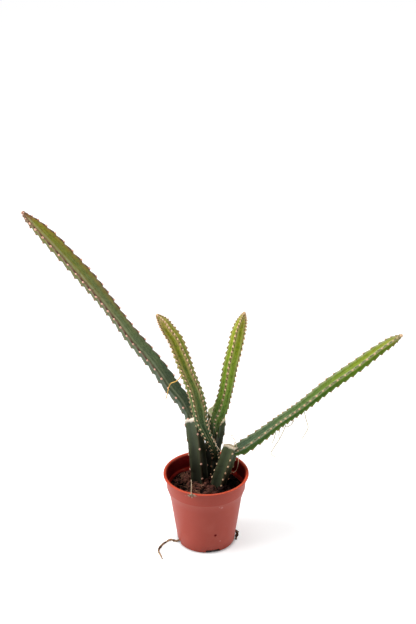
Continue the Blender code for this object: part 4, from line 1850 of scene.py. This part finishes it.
def crumb_place(place: Point, size: float, generator: random.Random) -> np.ndarray:
    """Turns and squashes one crumb.

    Args:
        place: its middle, in millimetres.
        size: its half width.
        generator: the source of chance.

    Returns:
        Its matrix.
    """
    axis = Vector((generator.random(), 1.0, generator.random()))
    turn = Matrix.Rotation(generator.uniform(0.0, 2.0 * math.pi), 3, axis)
    squash = np.diag((size * generator.uniform(0.7, 1.4), size, size * generator.uniform(0.6, 1.0)))
    matrix = np.eye(4)
    matrix[:3, :3] = squash @ np.array(turn)
    matrix[:3, 3] = place
    return matrix


def flat_shaded(piece: bpy.types.Object) -> bpy.types.Object:
    """The object, with its faces shaded flat."""
    take(piece)
    bpy.ops.object.shade_flat()
    return piece


def strand_object(name: str, strands: list[tuple[RoutePoint, ...]], sides: int, step: float) -> bpy.types.Object:
    """Makes thin round strands as one object.

    Args:
        name: the object's name.
        strands: the route of each.
        sides: faces round a strand.
        step: length between its rings.

    Returns:
        The object.
    """
    points, faces, start = [], [], 0
    angles = np.arange(sides) * 2.0 * math.pi / sides
    for strand in strands:
        route = Route(strand)
        count = max(2, round(route.length / step))
        distances = np.linspace(0.0, route.length, count + 1)
        centre, radius, _, front, side = route.frames(distances)
        reach = radius[:, None, None]
        across = np.cos(angles)[None, :, None] * front[:, None] + np.sin(angles)[None, :, None] * side[:, None]
        grid = centre[:, None] + reach * across
        found, new_faces = Stem.close(grid, sides)
        points.append(found)
        faces += [tuple(index + start for index in face) for face in new_faces]
        start += len(found)
    return mesh_object(name, np.vstack(points), faces)


@dataclass
class Strands:
    """Thin aerial roots and dried strands, each from the stem that it grew on. Sizes are in millimetres."""

    aerial: tuple[tuple[Point, ...], ...] = (
        (
            (96.9, 7.5, 155.8),
            (94.5, 5.5, 150.0),
            (89.1, 3.0, 138.4),
            (81.5, 1.5, 125.3),
            (79.3, 1.2, 120.0),
            (80.8, 0.4, 118.0),
            (84.4, -0.8, 116.4),
        ),
        ((89.6, 8.0, 149.8), (88.7, 6.5, 141.5), (89.3, 5.5, 137.4)),
        ((84.7, 8.5, 145.0), (82.8, 7.5, 135.9), (80.3, 7.0, 130.1)),
        ((106.6, 7.5, 162.6), (102.6, 6.0, 156.6), (98.2, 6.0, 154.1), (95.8, 7.0, 154.0)),
        ((118.4, 7.0, 174.6), (120.7, 5.0, 165.4), (123.4, 4.0, 152.7), (120.9, 4.0, 146.8), (116.1, 4.5, 137.2)),
    )
    golden: tuple[tuple[Point, ...], ...] = (
        (
            (-28.6, -3.0, 230.2),
            (-30.1, -3.5, 227.0),
            (-36.0, 3.0, 217.3),
            (-42.2, 9.0, 211.3),
            (-44.8, 11.0, 204.5),
            (-46.4, 12.5, 196.0),
            (-48.5, 13.0, 188.4),
        ),
    )
    pale: tuple[tuple[Point, ...], ...] = (
        (
            (5.2, 4.0, 166.7),
            (3.6, 1.5, 163.6),
            (3.4, 2.0, 155.4),
            (3.6, 3.0, 146.8),
            (6.4, 4.0, 141.1),
            (9.9, 3.0, 136.4),
            (13.3, 0.0, 130.4),
            (17.0, -3.0, 126.2),
        ),
        (
            (31.1, 5.0, 126.8),
            (33.2, 1.0, 127.9),
            (34.4, -1.0, 133.5),
            (35.0, -1.5, 138.7),
            (33.0, -1.5, 142.8),
            (30.1, -1.0, 143.9),
            (30.5, -0.5, 145.9),
            (33.1, 0.0, 145.3),
        ),
        ((37.6, 2.0, 126.8), (36.4, 0.5, 133.9), (34.9, -0.5, 138.9)),
        ((39.1, 7.0, 115.5), (39.7, 8.0, 102.8), (38.8, 9.0, 96.2), (36.8, 9.0, 90.3), (33.7, 7.0, 89.1), (31.3, 5.0, 91.7)),
    )
    on_soil: tuple[Point, ...] = (
        (-18.6, 15.0, 73.6),
        (-18.4, 10.0, 76.2),
        (-18.0, -8.0, 78.8),
        (-18.0, -22.0, 81.2),
        (-18.0, -34.0, 86.6),
        (-17.8, -43.5, 92.2),
        (-17.4, -49.8, 95.0),
        (-17.0, -52.7, 94.0),
        (-16.8, -53.0, 92.2),
    )
    lip_clump: Point = (-17.2, -52.4, 93.9)
    clump_size: Point = (4.4, 1.1, 1.7)
    clump_crumbs: int = 60
    seed: int = 61

    def build(self) -> None:
        """Makes the strands, by finish, and the clump of soil that hangs on the lip."""
        aerial = [self.tapered(points, 0.48, 0.32) for points in self.aerial]
        dress(strand_object("aerial_roots", aerial, sides=6, step=1.2), AERIAL.material(), Slot.ROOT)
        golden = [self.tapered(points, 0.68, 0.45) for points in self.golden]
        dress(strand_object("left_shoot_aerial_root", golden, sides=8, step=1.0), ROOT_GOLD.material(), Slot.ROOT)
        pale = [self.tapered(points, 0.50, 0.28) for points in (*self.pale, self.on_soil)]
        dress(strand_object("dried_strands", pale, sides=6, step=1.0), STRAND.material(), Slot.ROOT)
        generator = random.Random(self.seed)
        places = []
        for _ in range(self.clump_crumbs):
            spot = tuple(
                middle + generator.gauss(0.0, 0.5) * reach
                for middle, reach in zip(self.lip_clump, self.clump_size)
            )
            places.append(crumb_place(spot, generator.uniform(0.35, 1.0), generator))
        clump = flat_shaded(crumb_shape(generator).copies("lip_soil_clump", places))
        dress(clump, DRY_LUMP.material(), Slot.PEAT)

    @staticmethod
    def tapered(points: tuple[Point, ...], first: float, last: float) -> tuple[RoutePoint, ...]:
        """A strand's route, thinner towards its end.

        Args:
            points: the places it passes.
            first: its radius at the start.
            last: its radius at the end.

        Returns:
            The route with its radii.
        """
        steps = len(points) - 1
        return tuple((*point, first + (last - first) * i / steps) for i, point in enumerate(points))


@dataclass
class DrainRoots:
    """The two root ends that came out of the pot's notches. Sizes are in millimetres."""

    left: tuple[RoutePoint, ...] = (
        (-32.6, -8.6, 1.6, 0.9),
        (-37.0, -12.6, 1.6, 1.25),
        (-44.3, -10.9, 2.2, 1.35),
        (-52.0, -17.2, 1.5, 1.1),
        (-57.0, -25.2, 1.6, 1.35),
        (-58.5, -34.2, 1.4, 1.05),
        (-55.4, -43.0, 1.3, 0.95),
        (-53.3, -49.6, 1.1, 0.55),
    )
    right: tuple[RoutePoint, ...] = (
        (32.6, 7.2, 1.7, 0.9),
        (37.0, 8.6, 2.0, 1.3),
        (38.8, 5.2, 3.4, 1.4),
        (38.9, 0.8, 4.4, 1.2),
        (38.4, -3.8, 3.2, 1.0),
        (37.6, -8.2, 1.3, 0.6),
    )
    left_lumps: tuple[float, ...] = (6.5, 8.5, 10.0, 21.0, 23.0, 24.5, 32.0, 34.0, 36.0, 38.5, 46.0)
    right_lumps: int = 60
    seed: int = 71

    def build(self) -> None:
        """Makes both roots, with soil still on them."""
        root = ROOT.material()
        generator = random.Random(self.seed)
        left = strand_object("left_drain_root_skin", [self.left], sides=14, step=0.6)
        self.wither(left, generator)
        dress(left, root, Slot.ROOT, "left_drain_root")
        right = strand_object("right_drain_root_skin", [self.right], sides=14, step=0.6)
        self.wither(right, generator)
        dress(right, root, Slot.ROOT, "right_drain_root")
        places = []
        for middle in self.left_lumps:
            for _ in range(4):
                places.append(self.lump(Route(self.left), middle + generator.gauss(0.0, 0.9), 1.25, generator))
        tuft = Route(self.right)
        for _ in range(self.right_lumps):
            places.append(self.lump(tuft, generator.uniform(3.0, tuft.length), 1.5, generator))
        lumps = flat_shaded(crumb_shape(generator).copies("drain_root_soil", places))
        dress(lumps, LUMP.material(), Slot.ROOT)

    @staticmethod
    def wither(piece: bpy.types.Object, generator: random.Random) -> None:
        """Makes a root knobbly.

        Args:
            piece: the root's mesh.
            generator: the source of chance.
        """
        drift = generator.uniform(0.0, 50.0)
        for vert in piece.data.vertices:
            where = vert.co / MM
            vert.co += vert.normal * noise.noise(where * 0.7 + Vector((drift, 0.0, 0.0))) * 0.45 * MM

    @staticmethod
    def lump(route: Route, distance: float, size: float, generator: random.Random) -> np.ndarray:
        """Places one lump of soil on a root.

        Args:
            route: the root.
            distance: how far along it.
            size: the largest half width.
            generator: the source of chance.

        Returns:
            The lump's matrix.
        """
        x, y, z, radius = route.at(np.array([min(distance, route.length)]))[0]
        half = size * generator.uniform(0.4, 1.0)
        spot = (
            x + generator.gauss(0.0, 0.5) * radius,
            y + generator.gauss(0.0, 0.5) * radius,
            max(half * 0.8, z + generator.uniform(-0.3, 0.9) * radius),
        )
        return crumb_place(spot, half, generator)


@dataclass
class Studio:
    """The camera at the photograph's place, a white floor and soft light."""

    lens: float = 65.0
    camera_place: Point = (0.00239, -1.19083, 0.82705)
    camera_tilt: float = 66.47
    floor_size: float = 14.0

    def build(self) -> None:
        """Makes the camera, the floor, the sky and the lights."""
        camera = bpy.data.objects.new("camera", bpy.data.cameras.new("camera"))
        bpy.context.scene.collection.objects.link(camera)
        camera.data.lens = self.lens
        camera.data.sensor_width = 36.0
        camera.data.clip_start, camera.data.clip_end = 0.01, 100.0
        camera.location = self.camera_place
        camera.rotation_euler = (math.radians(self.camera_tilt), 0.0, 0.0)
        bpy.context.scene.camera = camera
        deselect_all()
        bpy.ops.mesh.primitive_plane_add(size=self.floor_size)
        floor = bpy.context.object
        floor.name = "studio_floor"
        floor.data.materials.append(self.floor_material())
        self.sky()
        self.softbox("left softbox", (-1.2, -0.2, 1.1), 1.1, 33.0)
        self.softbox("right softbox", (1.3, 0.1, 0.7), 1.0, 14.0)
        self.softbox("top softbox", (-0.1, 0.1, 1.6), 1.0, 14.0)
        bpy.context.scene.view_settings.view_transform = "Standard"

    @staticmethod
    def floor_material() -> bpy.types.Material:
        """White paper with a painted glow that fades it to pure white away from the pot, stronger just left of the
        pot and none under it.
        """
        nodes = Nodes("white paper")
        place = nodes.place()
        grain = nodes.noise(place, 300.0, 2.0)
        colour = nodes.mix(grain, (0.53, 0.53, 0.53), (0.56, 0.56, 0.56))
        x, y, _ = nodes.split(place)
        squared = x * x + y * y
        # Painted light: extra glow left of the pot that lifts its shadow there.
        left = (1.0 - x.rise(-0.06, 0.01)) * (1.0 - squared.rise(0.1**2, 0.4**2)) * 0.3
        near = squared.rise(0.033**2, 0.041**2) * (left + 0.58)
        glow = near + squared.rise(0.3**2, 1.6**2) * 0.42
        away = nodes.mix(glow, (0.0, 0.0, 0.0), (1.0, 1.0, 1.0))
        return nodes.surface(
            {
                "Base Color": colour,
                "Roughness": 0.9,
                "Specular IOR Level": 0.0,
                "Emission Color": away,
                "Emission Strength": 0.97,
            }
        )

    @staticmethod
    def sky() -> None:
        """A white surround, dimmer behind the camera, bright along the horizon and overhead."""
        world = bpy.data.worlds.new("white surround")
        world.use_nodes = True
        tree = world.node_tree
        split = tree.nodes.new("ShaderNodeSeparateXYZ")
        tree.links.new(tree.nodes.new("ShaderNodeTexCoord").outputs["Generated"], split.inputs[0])
        strength = None
        for axis, spread in (
            ("Y", (-1.0, 0.6, 0.12, 0.50)),
            ("Z", (0.2, 1.0, 0.0, 0.55)),
            ("Z", (0.08, 0.28, 0.75, 0.0)),
            ("Z", (0.01, 0.07, 19.0, 0.0)),
        ):
            ramp = tree.nodes.new("ShaderNodeMapRange")
            tree.links.new(split.outputs[axis], ramp.inputs["Value"])
            for key, value in zip(("From Min", "From Max", "To Min", "To Max"), spread):
                ramp.inputs[key].default_value = value
            if strength is None:
                strength = ramp.outputs["Result"]
                continue
            total = tree.nodes.new("ShaderNodeMath")
            tree.links.new(strength, total.inputs[0])
            tree.links.new(ramp.outputs["Result"], total.inputs[1])
            strength = total.outputs[0]
        tree.links.new(strength, tree.nodes["Background"].inputs["Strength"])
        bpy.context.scene.world = world

    @staticmethod
    def softbox(name: str, place: Point, size: float, power: float) -> None:
        """Adds a square light that looks at the plant.

        Args:
            name: the light's name.
            place: where it stands.
            size: its side.
            power: in watts.
        """
        data = bpy.data.lights.new(name, "AREA")
        data.size = size
        data.energy = power
        light = bpy.data.objects.new(name, data)
        light.location = place
        towards = Vector((0.0, 0.0, 0.18)) - Vector(place)
        light.rotation_euler = towards.to_track_quat("-Z", "Y").to_euler()
        bpy.context.scene.collection.objects.link(light)


def main() -> None:
    """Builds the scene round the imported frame."""
    logging.basicConfig(level=logging.INFO, format="%(message)s")
    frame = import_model()
    deselect_all()
    LOG.info("frame: %s", ", ".join(sorted(frame["nodes"])))
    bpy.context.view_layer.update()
    Studio().build()
    Pot().build()
    Soil().build()
    left_areoles = AreoleSet(cushion_radius=1.3, cushion_length=1.4, seed=21)
    right_areoles = AreoleSet(cushion_radius=1.1, cushion_length=1.4, seed=31)
    back_areoles = AreoleSet(cushion_radius=1.15, cushion_length=1.5, seed=41)
    Plant("left_plant", (LEFT_CUTTING, LONG_LEFT_SHOOT), PINK_FELT, left_areoles).build()
    Plant("right_plant", (RIGHT_CUTTING, LONG_RIGHT_SHOOT), TAN_FELT, right_areoles).build()
    back_stems = (BACK_CUTTING, UPRIGHT_RIGHT_SHOOT, UPRIGHT_LEFT_SHOOT)
    Plant("back_plant", back_stems, TAN_FELT, back_areoles).build()
    Strands().build()
    DrainRoots().build()


if __name__ == "__main__":
    main()
